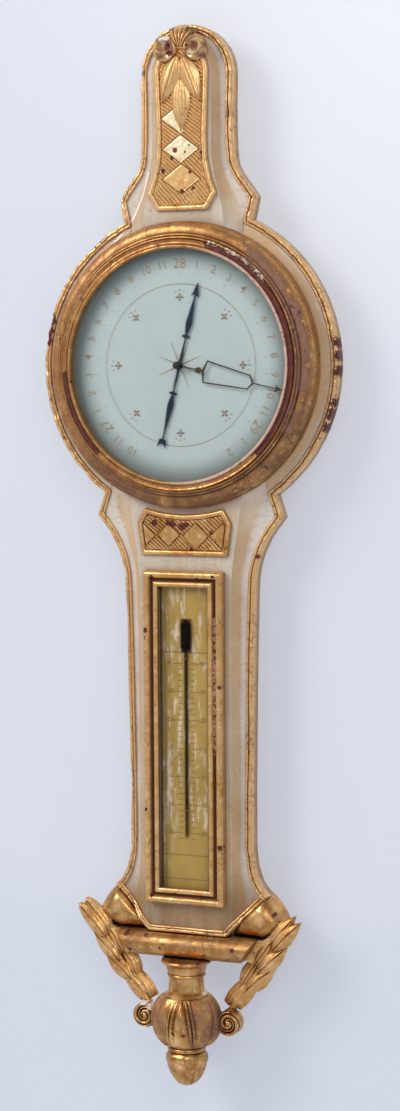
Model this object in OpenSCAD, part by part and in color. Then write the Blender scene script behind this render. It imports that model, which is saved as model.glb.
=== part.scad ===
// A painted and gilded wooden wheel barometer with a thermometer.
// Millimetres, +Z up, the front faces -Y and the wall is the plane y = 0.
// The origin is the centre of the hanging hole. Places below are taken from the
// dial centre, and a depth is a distance in front of the wall.

/* [Hanging] */
// Height of the hanging hole above the dial centre
hang_z = 281.5; // [276:0.5:286]
// Radius of the hanging hole
hang_hole_r = 4.25; // [3:0.25:5]
// Thickness of the hanging plate
hang_plate_t = 2; // [1.5:0.1:2.5]
// Half width of the hanging plate
hang_plate_w = 11; // [9:0.5:12]
// Half height of the hanging plate
hang_plate_h = 18; // [15:0.5:20]

/* [Case outline] */
// Radius of the arch at the top of the neck
arch_r = 46.5; // [44:0.5:50]
// Height of the arch centre above the dial centre
arch_z = 269; // [262:1:276]
// Half width of the neck at its foot
neck_w = 47; // [45:0.5:50]
// Reach of the upper ears past the corner on the round body
upper_ear_out = 4.6; // [2:0.2:7]
// Height of the upper ears above that corner
upper_ear_up = 21.1; // [18:0.5:24]
// Angle on the round body where the neck meets it
neck_angle = 64.4; // [62:0.2:66]
// Radius of the round body
body_r = 149; // [146:0.5:153]
// Angle below the horizontal where the trunk meets the body
trunk_angle = 54; // [53:0.5:55]
// Reach of the lower ears past the corner on the round body
lower_ear_out = 6.9; // [4:0.2:9]
// Drop of the lower ears below that corner
lower_ear_down = 21; // [18:0.5:24]
// Half width of the trunk at its middle
trunk_w = 63.5; // [61:0.5:66]
// Half width of the trunk just above the base
trunk_foot_w = 62.5; // [60:0.5:65]
// Reach of the base corners from the centre line
base_w = 79; // [76:0.5:82]
// Depth of the base corners below the dial centre
base_z = 499; // [496:1:503]
// Half width of the straight bottom edge
bottom_w = 40; // [37:0.5:43]
// Depth of the bottom edge below the dial centre
bottom_z = 539; // [536:1:543]

/* [Boards] */
// Thickness of the back board
board_t = 17; // [15:0.5:19]
// Depth of the raised field in front of the wall
field_f = 30; // [28:0.5:32]
// Depth of the low edge of the hollow
hollow_f = 19.5; // [18.5:0.5:21]
// Half width of the raised field on the neck
neck_field_w = 28.5; // [28:0.25:31]
// Half width of the raised field on the trunk
trunk_field_w = 46; // [44:0.5:49]
// Depth of the shallow rebates in the back
rebate_d = 3; // [2.5:0.25:3.5]

/* [Edge moulding] */
// Width of the gilt edge moulding
edge_w = 6.5; // [5.5:0.25:7.5]
// Thickness of the edge moulding beside the board
edge_lap = 3; // [2:0.25:3.5]
// Distance of the edge moulding from the wall
edge_back = 4; // [2:0.5:6]
// Height of the bead over its seat on the board
bead_h = 5.6; // [4.5:0.1:6.5]

/* [Bezel and dial] */
// Width of the painted and gilt band round the bezel
band_w = 15.5; // [14:0.5:17]
// Width of the bezel moulding
bezel_w = 25.5; // [24:0.5:27]
// Depth of the bezel's foot
drum_f = 24; // [22:0.5:26]
// Depth of the top of the bezel's lip
lip_f = 51; // [49:0.5:53]
// Width of the lip that holds the glass
lip_w = 3.5; // [3:0.25:4]
// Width of the fillet between the dial and the glass
fillet_w = 2.3; // [1.8:0.1:2.6]
// Thickness of the wooden board behind the dial
dial_board_t = 12; // [10:0.5:13]
// Thickness of the dial plate
dial_t = 2.5; // [1.5:0.25:3]
// Distance from the dial face to the glass
glass_gap = 4.9; // [4.5:0.1:5.5]
// Thickness of the dial glass
glass_t = 1.8; // [1.5:0.1:2.2]
// Radial clearance of the glass in its rebate
glass_play = 0.2; // [0.1:0.05:0.5]

/* [Movement] */
// Radius of the index arbor
arbor_r = 1; // [0.8:0.05:1.4]
// Radial clearance of a running fit
run_play = 0.05; // [0.03:0.01:0.08]
// Radius at which the silk thread leaves the pulley
thread_track_r = 6; // [5:0.25:7]
// Radius of the silk thread
thread_r = 0.3; // [0.2:0.05:0.4]
// Height of the pulley's flanges above the thread
flange_h = 2; // [1.5:0.1:2.5]
// Distance between the pulley's two grooves
groove_pitch = 4; // [3.5:0.25:5]
// Radius of the hole behind the movement
cavity_r = 34; // [30:0.5:38]
// Length of the bridge that carries the rear pivot
bridge_l = 84; // [80:1:92]
// Width of the bridge
bridge_w = 12; // [10:0.5:14]
// Thickness of the bridge
bridge_t = 1.6; // [1.2:0.1:2]
// Length of the index from the centre to its tip
index_l = 78.5; // [72:0.5:84]
// Length of the index tail
tail_l = 76.4; // [70:0.5:80]
// Angle of the index from upright, clockwise
index_angle = 14.2; // [-60:0.2:60]
// Thickness of both hands
hand_t = 0.6; // [0.4:0.1:0.8]
// Distance of the setting hand's tip from the bezel's lip
set_gap = 2.4; // [1.8:0.1:4]
// Angle of the setting hand below the horizontal
set_angle = 12.8; // [-60:0.2:60]
// Radius of the setting spindle
spindle_r = 1.5; // [1.2:0.1:1.8]
// Radius of the setting knob
knob_r = 3.9; // [3.2:0.1:5]
// Height of the setting knob in front of the glass
knob_h = 4.2; // [3:0.1:5]

/* [Siphon tube] */
// Outer radius of the glass tube
tube_r = 4; // [3.75:0.05:4.25]
// Wall of the glass tube
tube_wall = 1.3; // [1:0.05:1.6]
// Depth of the tube's axis
tube_f = 7; // [7:0.1:7.4]
// Radius of the bend at the foot of the tube
bend_r = 14; // [12:0.5:15]
// Depth of the bend's centre below the dial centre
bend_z = 512; // [505:1:515]
// Height of the closed top of the tube
tube_top_z = 296; // [292:0.5:298]
// Depth of the open end of the short limb
short_top_z = 440; // [430:1:450]
// Height of the mercury column, the mean air pressure
pressure_h = 760; // [740:1:775]
// Depth of the lower mercury level
low_level_z = 488; // [484:0.5:490]
// Length of the float
float_l = 12; // [10:0.5:14]
// Depth to which the float sinks in the mercury
float_draught = 4; // [3:0.25:5]
// Length of the counterweight
weight_l = 10; // [9:0.5:12]
// Depth of the counterweight's eye below the dial centre
weight_z = 60; // [50:1:75]

/* [Thermometer] */
// Half width of the frame
frame_w = 40; // [38.5:0.25:42]
// Gap between the bezel and the lattice panel
lattice_gap = 5.9; // [4:0.1:8]
// Height of the lattice panel on the centre line
lattice_h = 38.6; // [36:0.2:41]
// Gap between the lattice panel and the thermometer frame
frame_gap = 14.7; // [12:0.1:17]
// Depth of the frame's foot below the dial centre
frame_foot_z = 509; // [500:1:512]
// Width of the frame moulding
frame_moulding_w = 14.8; // [13:0.2:16]
// Height of the frame in front of the field
frame_h = 10; // [9:0.25:11]
// Thickness of the scale plate
plate_t = 2; // [1.5:0.1:2.5]
// Depth of the well that holds the scale plate
well_d = 3.5; // [3:0.1:4]
// Radius of the bulb
bulb_r = 5.2; // [4.5:0.1:5.4]
// Length of the bulb
bulb_l = 30.5; // [26:0.5:34]
// Distance of the bulb's top from the top of the frame
bulb_drop = 46.3; // [41:0.5:51]
// Radius of the stem
stem_r = 1.5; // [1.3:0.05:1.6]
// Distance from the bulb's top to the stem's pointed end
stem_l = 209; // [200:1:220]
// Thickness of the thermometer's glass
pane_t = 1.4; // [1.2:0.1:1.6]

/* [Crest] */
// Thickness of the crest panel's ground
panel_t = 2; // [1.5:0.1:2.5]
// Height of the borders round the carved panels
border_h = 4; // [3.5:0.1:5]
// Width of the borders round the carved panels
border_w = 4.6; // [4:0.1:5.2]
// Length of the centre leaf
leaf_l = 62; // [58:0.5:66]
// Half width of the centre leaf
leaf_w = 9; // [8:0.25:10]
// Radius of the domes on the crest
dome_r = 13; // [12:0.25:13.5]
// Distance of the domes from the centre line
dome_x = 15.5; // [15:0.25:17]
// Height of the domes above the centre of the arch
dome_up = 23; // [21:0.5:25]

/* [Base and pendant] */
// Height of the half round bar under the base
bar_h = 23; // [21:0.5:25]
// Half width of the bar along its top
bar_w = 70; // [67:0.5:73]
// Depth of the bar's belly in front of the wall
bar_f = 42; // [39:0.5:44]
// Depth of the pendant's axis in front of the wall
pendant_f = 33; // [33:0.25:35]
// Radius of the gadrooned ball
ball_r = 32; // [30:0.5:32.5]
// Number of lobes round the ball
ball_lobes = 8; // [6:2:10]
// Depth of the ball's centre below the dial centre
ball_z = 620; // [618:0.5:622]
// Radius of the bud
bud_r = 22.4; // [20.5:0.2:23.5]
// Depth of the pendant's tip below the dial centre
tip_z = 684.5; // [681:0.5:688]
// Radius of the side volutes
volute_r = 12.5; // [11.5:0.25:13]
// Distance of the volutes from the centre line
volute_x = 43; // [42:0.25:44]
// Thickness of the volutes
volute_t = 14; // [12:0.5:16]

/* [Hidden] */
$fn = 64;

// Small gap where two pieces only lie beside each other
play = 0.2;
// Gap round a liquid in its glass
fill_play = 0.02;
// Overshoot of a cutter past the face it leaves
cut = 1;

bezel_r = body_r - band_w;
sight_r = bezel_r - bezel_w;
rebate_r = sight_r + lip_w;
set_l = sight_r - set_gap;
frame_top_z = bezel_r + lattice_gap + lattice_h + frame_gap;
dome_z = arch_z + dome_up;
bulb_z = frame_top_z + bulb_drop;
stem_end_z = bulb_z + stem_l;
// Where the neck, the hollows and the fields stop against the bezel's drum
seat_r = bezel_r + 0.1;

// Points of an arc round [cx, cz], both ends included
function arc(cx, cz, r, a0, a1, n) =
    [for (i = [0:n]) let (a = a0 + (a1 - a0) * i / n) [cx + r * cos(a), cz + r * sin(a)]];
// Point of a cubic curve
function curve_at(p, t) =
    let (u = 1 - t)
    u * u * u * p[0] + 3 * u * u * t * p[1] + 3 * u * t * t * p[2] + t * t * t * p[3];
function curve(p, ts) = [for (t = ts) curve_at(p, t)];
function polar(r, a) = [r * cos(a), r * sin(a)];
function mirrored(pts) = [for (i = [len(pts) - 1:-1:0]) [-pts[i][0], pts[i][1]]];
function unit(v) = v / norm(v);
function lerp(a, b, t) = a + (b - a) * t;
// Inward normal of the step from a to b on a path that runs clockwise
function step_normal(a, b) = let (d = unit(b - a)) [d[1], -d[0]];
// Mitre vector of corner i of a closed clockwise path, for an inset of 1
function mitre(path, i) =
    let (n = len(path), a = path[(i + n - 1) % n], b = path[i], c = path[(i + 1) % n])
    let (m = step_normal(a, b), k = step_normal(b, c))
    (m + k) / (1 + m * k);
function inset(path, d) = [for (i = [0:len(path) - 1]) path[i] + d * mitre(path, i)];

// Right half of the case outline, from the arch down to the base corner
upper_notch = polar(body_r, neck_angle);
lower_notch = polar(body_r, -trunk_angle);
upper_ear = upper_notch + [upper_ear_out, upper_ear_up];
lower_ear = lower_notch + [lower_ear_out, -lower_ear_down];
neck_flare = curve([[neck_w, upper_ear[1] + 39.5], [neck_w, upper_ear[1] + 24.5],
    upper_ear + [-7, 12.5], upper_ear], [0, 0.27, 0.5, 0.72, 1]);
trunk_flare = curve([lower_ear, lower_ear + [-7.5, -10.5], lower_ear + [-29.5, -30.5],
    [trunk_w + 2.5, lower_ear[1] - 73.5]],
    [0, 0.25, 0.45, 0.65, 0.82, 1]);
base_flare = curve([[trunk_foot_w, -445], [trunk_foot_w, -472], [67, -489], [base_w, -base_z]],
    [0, 0.25, 0.45, 0.7, 1]);
arch_steps = 18;
body_steps = 34;
arch_part = arc(0, arch_z, arch_r, 90, 0, arch_steps);
neck_part = concat([[arch_r - 0.5, arch_z - 37]], neck_flare, [(upper_ear + upper_notch) / 2]);
body_part = arc(0, 0, body_r, neck_angle, -trunk_angle, body_steps);
trunk_part = concat([(lower_notch + lower_ear) / 2], trunk_flare, [[trunk_w, -330]], base_flare);
right_side = concat(arch_part, neck_part, body_part, trunk_part);
// The base edge from the right corner to the left one, with stations across the hollow
base_corner = [bottom_w, -bottom_z];
diagonal_steps = [0.25, 0.42, 0.6, 0.78];
base_edge = concat(
    [for (t = diagonal_steps) lerp([base_w, -base_z], base_corner, t)], [base_corner],
    mirrored([base_corner]), mirrored([for (t = diagonal_steps) lerp([base_w, -base_z], base_corner, t)]));
left_side = [for (i = [0:len(right_side) - 2]) mirrored(right_side)[i]];
outline = concat(right_side, base_edge, left_side);
count = len(outline);
i_notch = len(arch_part) + len(neck_part);
i_trunk = i_notch + len(body_part);
i_corner = len(right_side) - 1;
i_left_corner = i_corner + len(base_edge) + 1;

// Inner edge of the gilt moulding, where the painted surface begins
inner_edge = inset(outline, edge_w);

// The point at half width x on the inner edge of the base's slanted side
slant_a = inner_edge[i_corner];
slant_b = inner_edge[i_corner + len(diagonal_steps) + 1];
function diagonal_point(x) = lerp(slant_a, slant_b, (x - slant_a[0]) / (slant_b[0] - slant_a[0]));

// Edge of the raised field on the neck: place and depth, from the arch down to the notch
neck_knee = [neck_field_w + 13.5, sqrt(seat_r * seat_r - pow(neck_field_w + 13.5, 2))];
trunk_knee = [trunk_field_w + 12, -sqrt(seat_r * seat_r - pow(trunk_field_w + 12, 2))];
band_f = 22.5;
neck_field_edge = concat(
    arc(0, arch_z, neck_field_w, 90, 0, arch_steps),
    [[neck_field_w, arch_z - 37], neck_knee + [-13.5, 68.3], neck_knee + [-11, 51.3], neck_knee + [-6.5, 35.3]],
    [neck_knee + [-3, 20.3], neck_knee, polar(seat_r, (neck_angle + atan2(neck_knee[1], neck_knee[0])) / 2)],
    [polar(seat_r, neck_angle)]);
neck_depths = concat([for (i = [0:arch_steps + 6]) field_f], [lerp(field_f, band_f, 0.5), band_f]);
trunk_field_edge = concat(
    [polar(seat_r, -trunk_angle)],
    [polar(seat_r, (atan2(trunk_knee[1], trunk_knee[0]) - trunk_angle) / 2), trunk_knee],
    [trunk_knee + [-2.5, -19.8], trunk_knee + [-6, -37.8], trunk_knee + [-9.5, -61.8]],
    [trunk_knee + [-11, -76.8], trunk_knee + [-12, -94.8], [trunk_field_w, -330]],
    [[trunk_field_w, -445], [trunk_field_w, -468], [trunk_field_w, -487], [trunk_field_w, -505]],
    [diagonal_point(trunk_field_w)]);
trunk_depths = concat([band_f, lerp(band_f, field_f, 0.5)], [for (i = [0:11]) field_f]);

// Depth of a hollow moulding at the share s of its way out, from depth f
hollow_share = 0.8;
function hollow_depth(f, s) = hollow_f + (f - hollow_f) * (1 - sin(90 * min(1, s / hollow_share)));
hollow_ts = [0.12, 0.25, 0.4, 0.6, 0.8];
// Depth of the painted surface beside the slanted base edge at half width x
function base_depth(x) =
    let (outer = slant_a[0], s = (x - trunk_field_w) / (outer - trunk_field_w))
    x <= trunk_field_w ? field_f : hollow_depth(field_f, s);

// Movement
dial_f = drum_f + dial_board_t + dial_t;
glass_f = dial_f + glass_gap;
pulley_f = tube_f + groove_pitch / 2;
pulley_t = 2 * groove_pitch;
index_f = dial_f + 1.5;
set_f = index_f + hand_t + 1;
short_x = thread_track_r;
long_x = short_x - 2 * bend_r;
bore_r = tube_r - tube_wall;
groove_play = 2;
float_r = bore_r - 0.3;
float_bottom_z = -low_level_z - float_draught;
float_top_z = float_bottom_z + float_l;
strap_w = 10;
strap_t = 1.2;
strap_places = [150, -205, -420];
screw_r = 1.3;
screw_head_r = 2.8;
fixing_depth = 10;

// Thermometer
plate_f = field_f - well_d + plate_t;
stem_f = plate_f + stem_r;
// The wire ties of the tube
tie_r = 0.45;
tie_reach = stem_r + tie_r;
tie_places = [-bulb_z - bulb_l - 6, -stem_end_z + 29];
frame_rebate = 2.5;
pane_back_f = stem_f + bulb_r + 0.5;
pane_w = frame_w - frame_moulding_w + frame_rebate - play;
pane_top_z = frame_top_z + frame_moulding_w - frame_rebate + play;
pane_foot_z = frame_foot_z - frame_moulding_w + frame_rebate - play;
plate_w = frame_w - frame_moulding_w + 1.5;
plate_top_z = frame_top_z + frame_moulding_w - 1.5;
plate_foot_z = frame_foot_z - frame_moulding_w + 1.5;

// Base
bar_top_z = bottom_z;
bar_foot_z = bar_top_z + bar_h;
bar_taper = 15;

gold = "#c9944e";
paint = "#c4b3a0";
bole = "#8f6a55";
raw_wood = "#9b7650";
brass = "#b08a3c";
steel_blue = "#2a3440";
iron = "#4d463f";

// Moves a shape from the dial centre to the origin at the hanging hole
module at_dial() {
    translate([0, 0, -hang_z]) children();
}
// A flat shape drawn as the front shows it, from depth f and t thick
module slab(f, t) {
    translate([0, -f, 0]) rotate([90, 0, 0]) linear_extrude(t) children();
}
// A turned shape on the axis through the dial: radius across, depth up
module turned() {
    rotate([90, 0, 0]) rotate_extrude() children();
}
// A round bar along the depth at [x, z]
module pin(x, z, r, f, t) {
    translate([x, -f, z]) rotate([90, 0, 0]) cylinder(h = t, r = r);
}
// Six times the volume inside triangles, below zero where they are wound the right way
function wound(pts, tris) =
    let (v = [for (t = tris) pts[t[0]] * cross(pts[t[1]], pts[t[2]])]) v * [for (x = v) 1];
// A closed solid over triangles, turned so that they all face outwards
module closed(pts, tris) {
    right_way = wound(pts, tris) < 0;
    polyhedron(points = pts, faces = right_way ? tris : [for (t = tris) [t[0], t[2], t[1]]]);
}
// A closed skin over rings of equal length, with the two end rings as caps
module skin(rings) {
    n = len(rings[0]);
    last = len(rings) - 1;
    sides = [for (i = [0:last - 1], j = [0:n - 1]) let (k = (j + 1) % n)
        each [[i * n + j, i * n + k, (i + 1) * n + k], [i * n + j, (i + 1) * n + k, (i + 1) * n + j]]];
    caps = [for (j = [1:n - 2]) each [[0, j + 1, j], [last * n, last * n + j, last * n + j + 1]]];
    closed([for (r = rings) each r], concat(sides, caps));
}
function at_depth(p, f) = [p[0], -f, p[1]];

// Ring of the edge moulding at corner i, lifted where the surface inside it is higher.
// The first point is the inner corner that laps over the back board.
function edge_ring(i, lift) =
    let (p = outline[i], m = mitre(outline, i))
    [for (q = [
        [edge_lap, board_t], [edge_lap, edge_back], [0, edge_back],
        [0, board_t + 1.2 + lift], [0.12 * edge_w, board_t + 0.7 * bead_h + lift],
        [0.42 * edge_w, board_t + bead_h + lift], [0.72 * edge_w, board_t + 0.88 * bead_h + lift],
        [edge_w, hollow_f + lift], [edge_w, board_t]
    ]) at_depth(p + q[0] * m, q[1])];
// Ring of a hollow moulding between the field edge a at depth f and the gilt edge b
function hollow_ring(a, f, b) = concat(
    [at_depth(a, board_t), at_depth(a, f)],
    [for (s = hollow_ts) at_depth(lerp(a, b, s), hollow_depth(f, s))],
    [at_depth(b, hollow_f), at_depth(b, board_t)]);

module back_board() {
    color(raw_wood) at_dial() difference() {
        slab(0, board_t) polygon(inset(outline, edge_lap));
        pin(0, 0, cavity_r, -cut, board_t + 2 * cut);
        // Groove for both limbs of the tube, and for the long limb alone in the neck
        slab(-cut, board_t + 2 * cut) tube_groove();
        // Rebates for the bridge, the straps and the hanging plate
        slab(-cut, rebate_d + cut) square([bridge_l + play, bridge_w + play], center = true);
        for (z = strap_places) slab(-cut, rebate_d + cut) strap_outline(z, play);
        slab(-cut, hang_plate_t + cut) plate_outline(play);
        pin(0, hang_z, 2 * hang_hole_r, -cut, 10 + cut);
        at_screws() pin(0, 0, screw_r, 0, fixing_depth + 1);
    }
}
module tube_groove() {
    half = tube_r + groove_play;
    top = tube_top_z + groove_play;
    foot = bend_z + bend_r + half;
    translate([long_x - half, -foot + 6]) square([2 * half, top + foot - 6]);
    translate([long_x - half, -foot]) square([2 * bend_r + 2 * half, foot - weight_top_run()]);
}
// Height at which the wide part of the groove opens into the round hole
function weight_top_run() = cavity_r / 2;
module strap_outline(z, gap) {
    right = z > 0 ? long_x + tube_r + 14 : short_x + tube_r + 14;
    left = long_x - tube_r - 14;
    translate([left - gap / 2, z - strap_w / 2 - gap / 2]) square([right - left + gap, strap_w + gap]);
}
module plate_outline(gap) {
    translate([0, hang_z]) square([2 * hang_plate_w + gap, 2 * hang_plate_h + gap], center = true);
}

module edge_moulding(side) {
    rings = [for (i = [0:i_corner]) edge_ring(i, 0)];
    color(gold) at_dial() mirror([side < 0 ? 1 : 0, 0, 0]) skin(rings);
}
module edge_moulding_left() { edge_moulding(-1); }
module edge_moulding_right() { edge_moulding(1); }

module base_listel() {
    function lift(i) = base_depth(abs(inner_edge[i][0])) - hollow_f;
    color(gold) at_dial() skin([for (i = [i_corner:i_left_corner]) edge_ring(i, lift(i))]);
}

module neck_field() {
    edge = [for (i = [0:arch_steps + 6]) neck_field_edge[i]];
    side = concat(edge, [[neck_knee[0], bezel_r / 2]]);
    color(paint) at_dial() difference() {
        slab(board_t, field_f - board_t)
            polygon(concat(side, [for (i = [len(side) - 1:-1:1]) [-side[i][0], side[i][1]]]));
        pin(0, 0, seat_r, board_t - cut, field_f - board_t + 2 * cut);
    }
}
module neck_hollow() {
    right = [for (i = [0:i_notch]) hollow_ring(neck_field_edge[i], neck_depths[i], inner_edge[i])];
    left = [for (i = [i_notch:-1:1]) [for (p = right[i]) [-p[0], p[1], p[2]]]];
    color(paint) at_dial() skin(concat(left, right));
}

module trunk_field() {
    edge = [for (i = [2:len(trunk_field_edge) - 1]) trunk_field_edge[i]];
    side = concat([[trunk_knee[0], -bezel_r / 2]], edge, [slant_b]);
    color(paint) at_dial() difference() {
        slab(board_t, field_f - board_t) polygon(concat(side, mirrored(side)));
        pin(0, 0, seat_r, board_t - cut, field_f - board_t + 2 * cut);
        // Well for the scale plate, and a pocket behind the bulb
        slab(field_f - well_d, well_d + cut) rect(plate_w + play, -plate_foot_z - play, -plate_top_z + play);
        slab(stem_f - bulb_r - play, well_d + bulb_r)
            rect(bulb_r + 1, -bulb_z - bulb_l - 2, -bulb_z + 2);
    }
}
module rect(half_w, z0, z1) {
    translate([-half_w, z0]) square([2 * half_w, z1 - z0]);
}
module trunk_hollow(side) {
    last = len(trunk_field_edge) - 1;
    rings = [for (i = [0:last]) hollow_ring(trunk_field_edge[i], trunk_depths[i], inner_edge[i_trunk - 1 + i])];
    color(paint) at_dial() mirror([side < 0 ? 1 : 0, 0, 0]) skin(rings);
}
module trunk_hollow_left() { trunk_hollow(-1); }
module trunk_hollow_right() { trunk_hollow(1); }

module body_drum() {
    // The gilt edge runs in short straight lengths, so the drum meets it at their middles
    rim_r = body_r * cos((neck_angle + trunk_angle) / 2 / body_steps) - edge_w;
    color(paint) at_dial() difference() {
        turned() polygon([[cavity_r, board_t], [rim_r, board_t], [rim_r, hollow_f],
            [bezel_r, band_f], [bezel_r, drum_f], [cavity_r, drum_f]]);
        // The neck and the trunk take the place of the painted band
        slab(board_t - cut, drum_f) difference() {
            union() {
                band_end(neck_field_edge[i_notch], inner_edge[i_notch]);
                band_end(trunk_field_edge[0], inner_edge[i_trunk - 1]);
            }
            circle(bezel_r);
        }
    }
}
// The space between the two lines from p through q and from their mirror images
module band_end(p, q) {
    far = q + body_r * unit(q - p);
    polygon([[0, 0], p, far, [-far[0], far[1]], [-p[0], p[1]]]);
}

module bezel() {
    u = bezel_w / 25.5;
    torus_r = 10.2 * u;
    torus_c = [bezel_r - torus_r, lip_f - 6.3 - torus_r];
    lip_r = 1.7;
    crest = lip_f - lip_r;
    color(gold) at_dial() difference() {
        union() {
            turned() polygon([[rebate_r, drum_f], [rebate_r, glass_f + glass_t], [sight_r, glass_f + glass_t],
                [sight_r, crest], [sight_r + lip_r, crest + 0.6], [sight_r + 3.6 * u, lip_f - 0.9],
                [sight_r + 8.2 * u, lip_f - 2.6], [sight_r + 12.4 * u, lip_f - 5.2],
                [torus_c[0], torus_c[1] + torus_r - 0.6], [torus_c[0] + 2, torus_c[1]],
                [bezel_r - 0.4, torus_c[1]], [bezel_r - 0.4, drum_f]]);
            turned() translate([sight_r + lip_r, crest]) circle(lip_r);
            turned() translate([sight_r + 9.6 * u, lip_f - 3.6]) circle(1.5);
            turned() translate([sight_r + 12.4 * u, lip_f - 4.9]) circle(1.2);
            turned() translate(torus_c) circle(torus_r);
        }
        // The cove between the lip and the beads
        turned() translate([sight_r + 5.9 * u, lip_f + 0.9]) circle(2.9 * u);
    }
}

module dial_board() {
    color(raw_wood) at_dial() difference() {
        pin(0, 0, rebate_r - play, drum_f, dial_board_t);
        pin(0, 0, bush_r, drum_f - cut, dial_board_t + 2 * cut);
    }
}
bush_r = arbor_r + run_play + 1.6;
module dial_plate() {
    color("#afc0c0") at_dial() difference() {
        pin(0, 0, rebate_r - play, drum_f + dial_board_t, dial_t);
        pin(0, 0, bush_r, drum_f + dial_board_t - cut, dial_t + 2 * cut);
    }
}
module glass_fillet() {
    color(raw_wood) at_dial() difference() {
        pin(0, 0, rebate_r - play, dial_f, glass_gap);
        pin(0, 0, rebate_r - play - fillet_w, dial_f - cut, glass_gap + 2 * cut);
    }
}
module dial_glass() {
    color("#dfe9e9", 0.25) at_dial() difference() {
        pin(0, 0, rebate_r - glass_play, glass_f, glass_t);
        pin(0, 0, spindle_r + run_play, glass_f - cut, glass_t + 2 * cut);
    }
}

// Half outline of the index from the hub out: distance and half width
function blade(l) = [
    [3, 1.5], [0.3 * l, 0.7], [0.33 * l, 0.8], [0.34 * l, 4], [0.36 * l, 4], [0.37 * l, 0.9],
    [0.42 * l, 2.2], [0.51 * l, 3.1], [0.62 * l, 2.3], [0.78 * l, 1], [0.86 * l, 0.7]];
module blade_shape(l, tip) {
    side = concat(blade(l), tip);
    polygon(concat([for (p = side) [p[1], p[0]]], [for (i = [len(side) - 1:-1:0]) [-side[i][1], side[i][0]]]));
}
module index_hand() {
    barb = index_l - 11;
    horn = tail_l - 6;
    hub_r = arbor_r + 2.4;
    color(steel_blue) at_dial() rotate([0, index_angle, 0]) difference() {
        union() {
            slab(index_f, hand_t) {
                blade_shape(index_l, [[barb, 0.8], [barb - 2.5, 4], [index_l, 0.15]]);
                rotate(180) blade_shape(tail_l, [[horn, 0.7], [horn + 1, 3.6], [tail_l + 3, 4.2],
                    [tail_l, 2.6], [tail_l - 1.5, 0.6]]);
            }
            pin(0, 0, hub_r, index_f - 0.9, hand_t + 1.2);
        }
        pin(0, 0, arbor_r, index_f - 2 * cut, hand_t + 4 * cut);
    }
}
module index_arbor() {
    back = rebate_d - bridge_t - 0.4;
    color("silver") at_dial() pin(0, 0, arbor_r, back, index_f + hand_t + 0.2 - back);
}
module arbor_bush() {
    flange_t = 0.5;
    color(brass) at_dial() difference() {
        union() {
            pin(0, 0, bush_r, drum_f, dial_board_t + dial_t);
            pin(0, 0, bush_r + 2.5, drum_f - 1.5, 1.5);
            pin(0, 0, bush_r + 0.5, dial_f, flange_t - 0.1);
        }
        pin(0, 0, arbor_r + run_play, drum_f - 2 * cut, dial_board_t + dial_t + 4 * cut);
    }
}
module pulley() {
    rim_r = thread_track_r + flange_h;
    floor_r = thread_track_r - thread_r;
    groove_w = 1.8;
    start = pulley_f - pulley_t / 2;
    color("#e3d3ae") at_dial() turned() difference() {
        translate([arbor_r, start]) square([rim_r - arbor_r, pulley_t]);
        for (f = [tube_f, tube_f + groove_pitch])
            polygon([[floor_r, f - thread_r], [floor_r, f + thread_r],
                [rim_r + cut, f + groove_w / 2 + cut / 2], [rim_r + cut, f - groove_w / 2 - cut / 2]]);
    }
}
module bridge() {
    color(brass) at_dial() difference() {
        slab(rebate_d - bridge_t, bridge_t) square([bridge_l, bridge_w], center = true);
        pin(0, 0, arbor_r + run_play, 0, rebate_d + cut);
        for (s = [-1, 1]) pin(s * (bridge_l / 2 - 4), 0, screw_r, 0, rebate_d + cut);
    }
}
// A wood screw or nail whose head lies on depth f, reaching to depth `reach`
module fixing(x, z, f, reach, head_r, shank_r) {
    pin(x, z, head_r, f - 0.9, 0.9);
    pin(x, z, shank_r, f - 0.9, reach - f + 0.9);
}
module bridge_screws() {
    color(iron) at_dial() for (s = [-1, 1])
        fixing(s * (bridge_l / 2 - 4), 0, rebate_d - bridge_t, fixing_depth, screw_head_r, screw_r);
}
function strap_ends(z) = [long_x - tube_r - 10.5, (z > 0 ? long_x : short_x) + tube_r + 10.5];
// The pilot holes of every fixing in the back board
module at_screws() {
    for (s = [-1, 1]) translate([s * (bridge_l / 2 - 4), 0, 0]) children();
    for (z = strap_places) for (x = strap_ends(z)) translate([x, 0, z]) children();
    for (s = [-1, 1]) translate([0, 0, hang_z + s * (hang_plate_h - 4)]) children();
}
module tube_straps() {
    color(brass) at_dial() for (z = strap_places) difference() {
        slab(rebate_d - strap_t, strap_t) strap_outline(z, 0);
        for (x = strap_ends(z)) pin(x, z, screw_r, 0, rebate_d + cut);
    }
}
module strap_nails() {
    color(iron) at_dial() for (z = strap_places) for (x = strap_ends(z))
        fixing(x, z, rebate_d - strap_t, fixing_depth, 1.7 * screw_r, screw_r);
}

module setting_hand() {
    wire = 1.1;
    near = 0.246 * set_l;
    far = 0.682 * set_l;
    collar = 0.19 * set_l;
    color("#5c5036") at_dial() rotate([0, 90 + set_angle, 0]) difference() {
        union() {
            slab(set_f, hand_t) {
                translate([-wire / 2, 0]) square([wire, near]);
                translate([0, collar]) polygon([[0, -5], [3, 0], [2, 2.5], [0, 4], [-2, 2.5], [-3, 0]]);
                difference() {
                    polygon([[-1.2, near - 2], [1.2, near - 2], [10.8, near + 1], [6.9, far], [1.4, far + 4],
                        [-1.4, far + 4], [-6.9, far], [-10.8, near + 1]]);
                    polygon([[0, near], [9.4, near + 2], [5.8, far - 0.8], [0, far + 2.5], [-5.8, far - 0.8],
                        [-9.4, near + 2]]);
                }
                translate([-wire / 2, far + 3]) square([wire, set_l - far - 6]);
                polygon([[0, set_l], [3.4, set_l - 8.5], [0, set_l - 6], [-3.4, set_l - 8.5]]);
            }
            pin(0, 0, spindle_r + 1.3, set_f - 0.2, hand_t + 0.4);
        }
        pin(0, 0, spindle_r, set_f - cut, hand_t + 2 * cut);
    }
}
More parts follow.
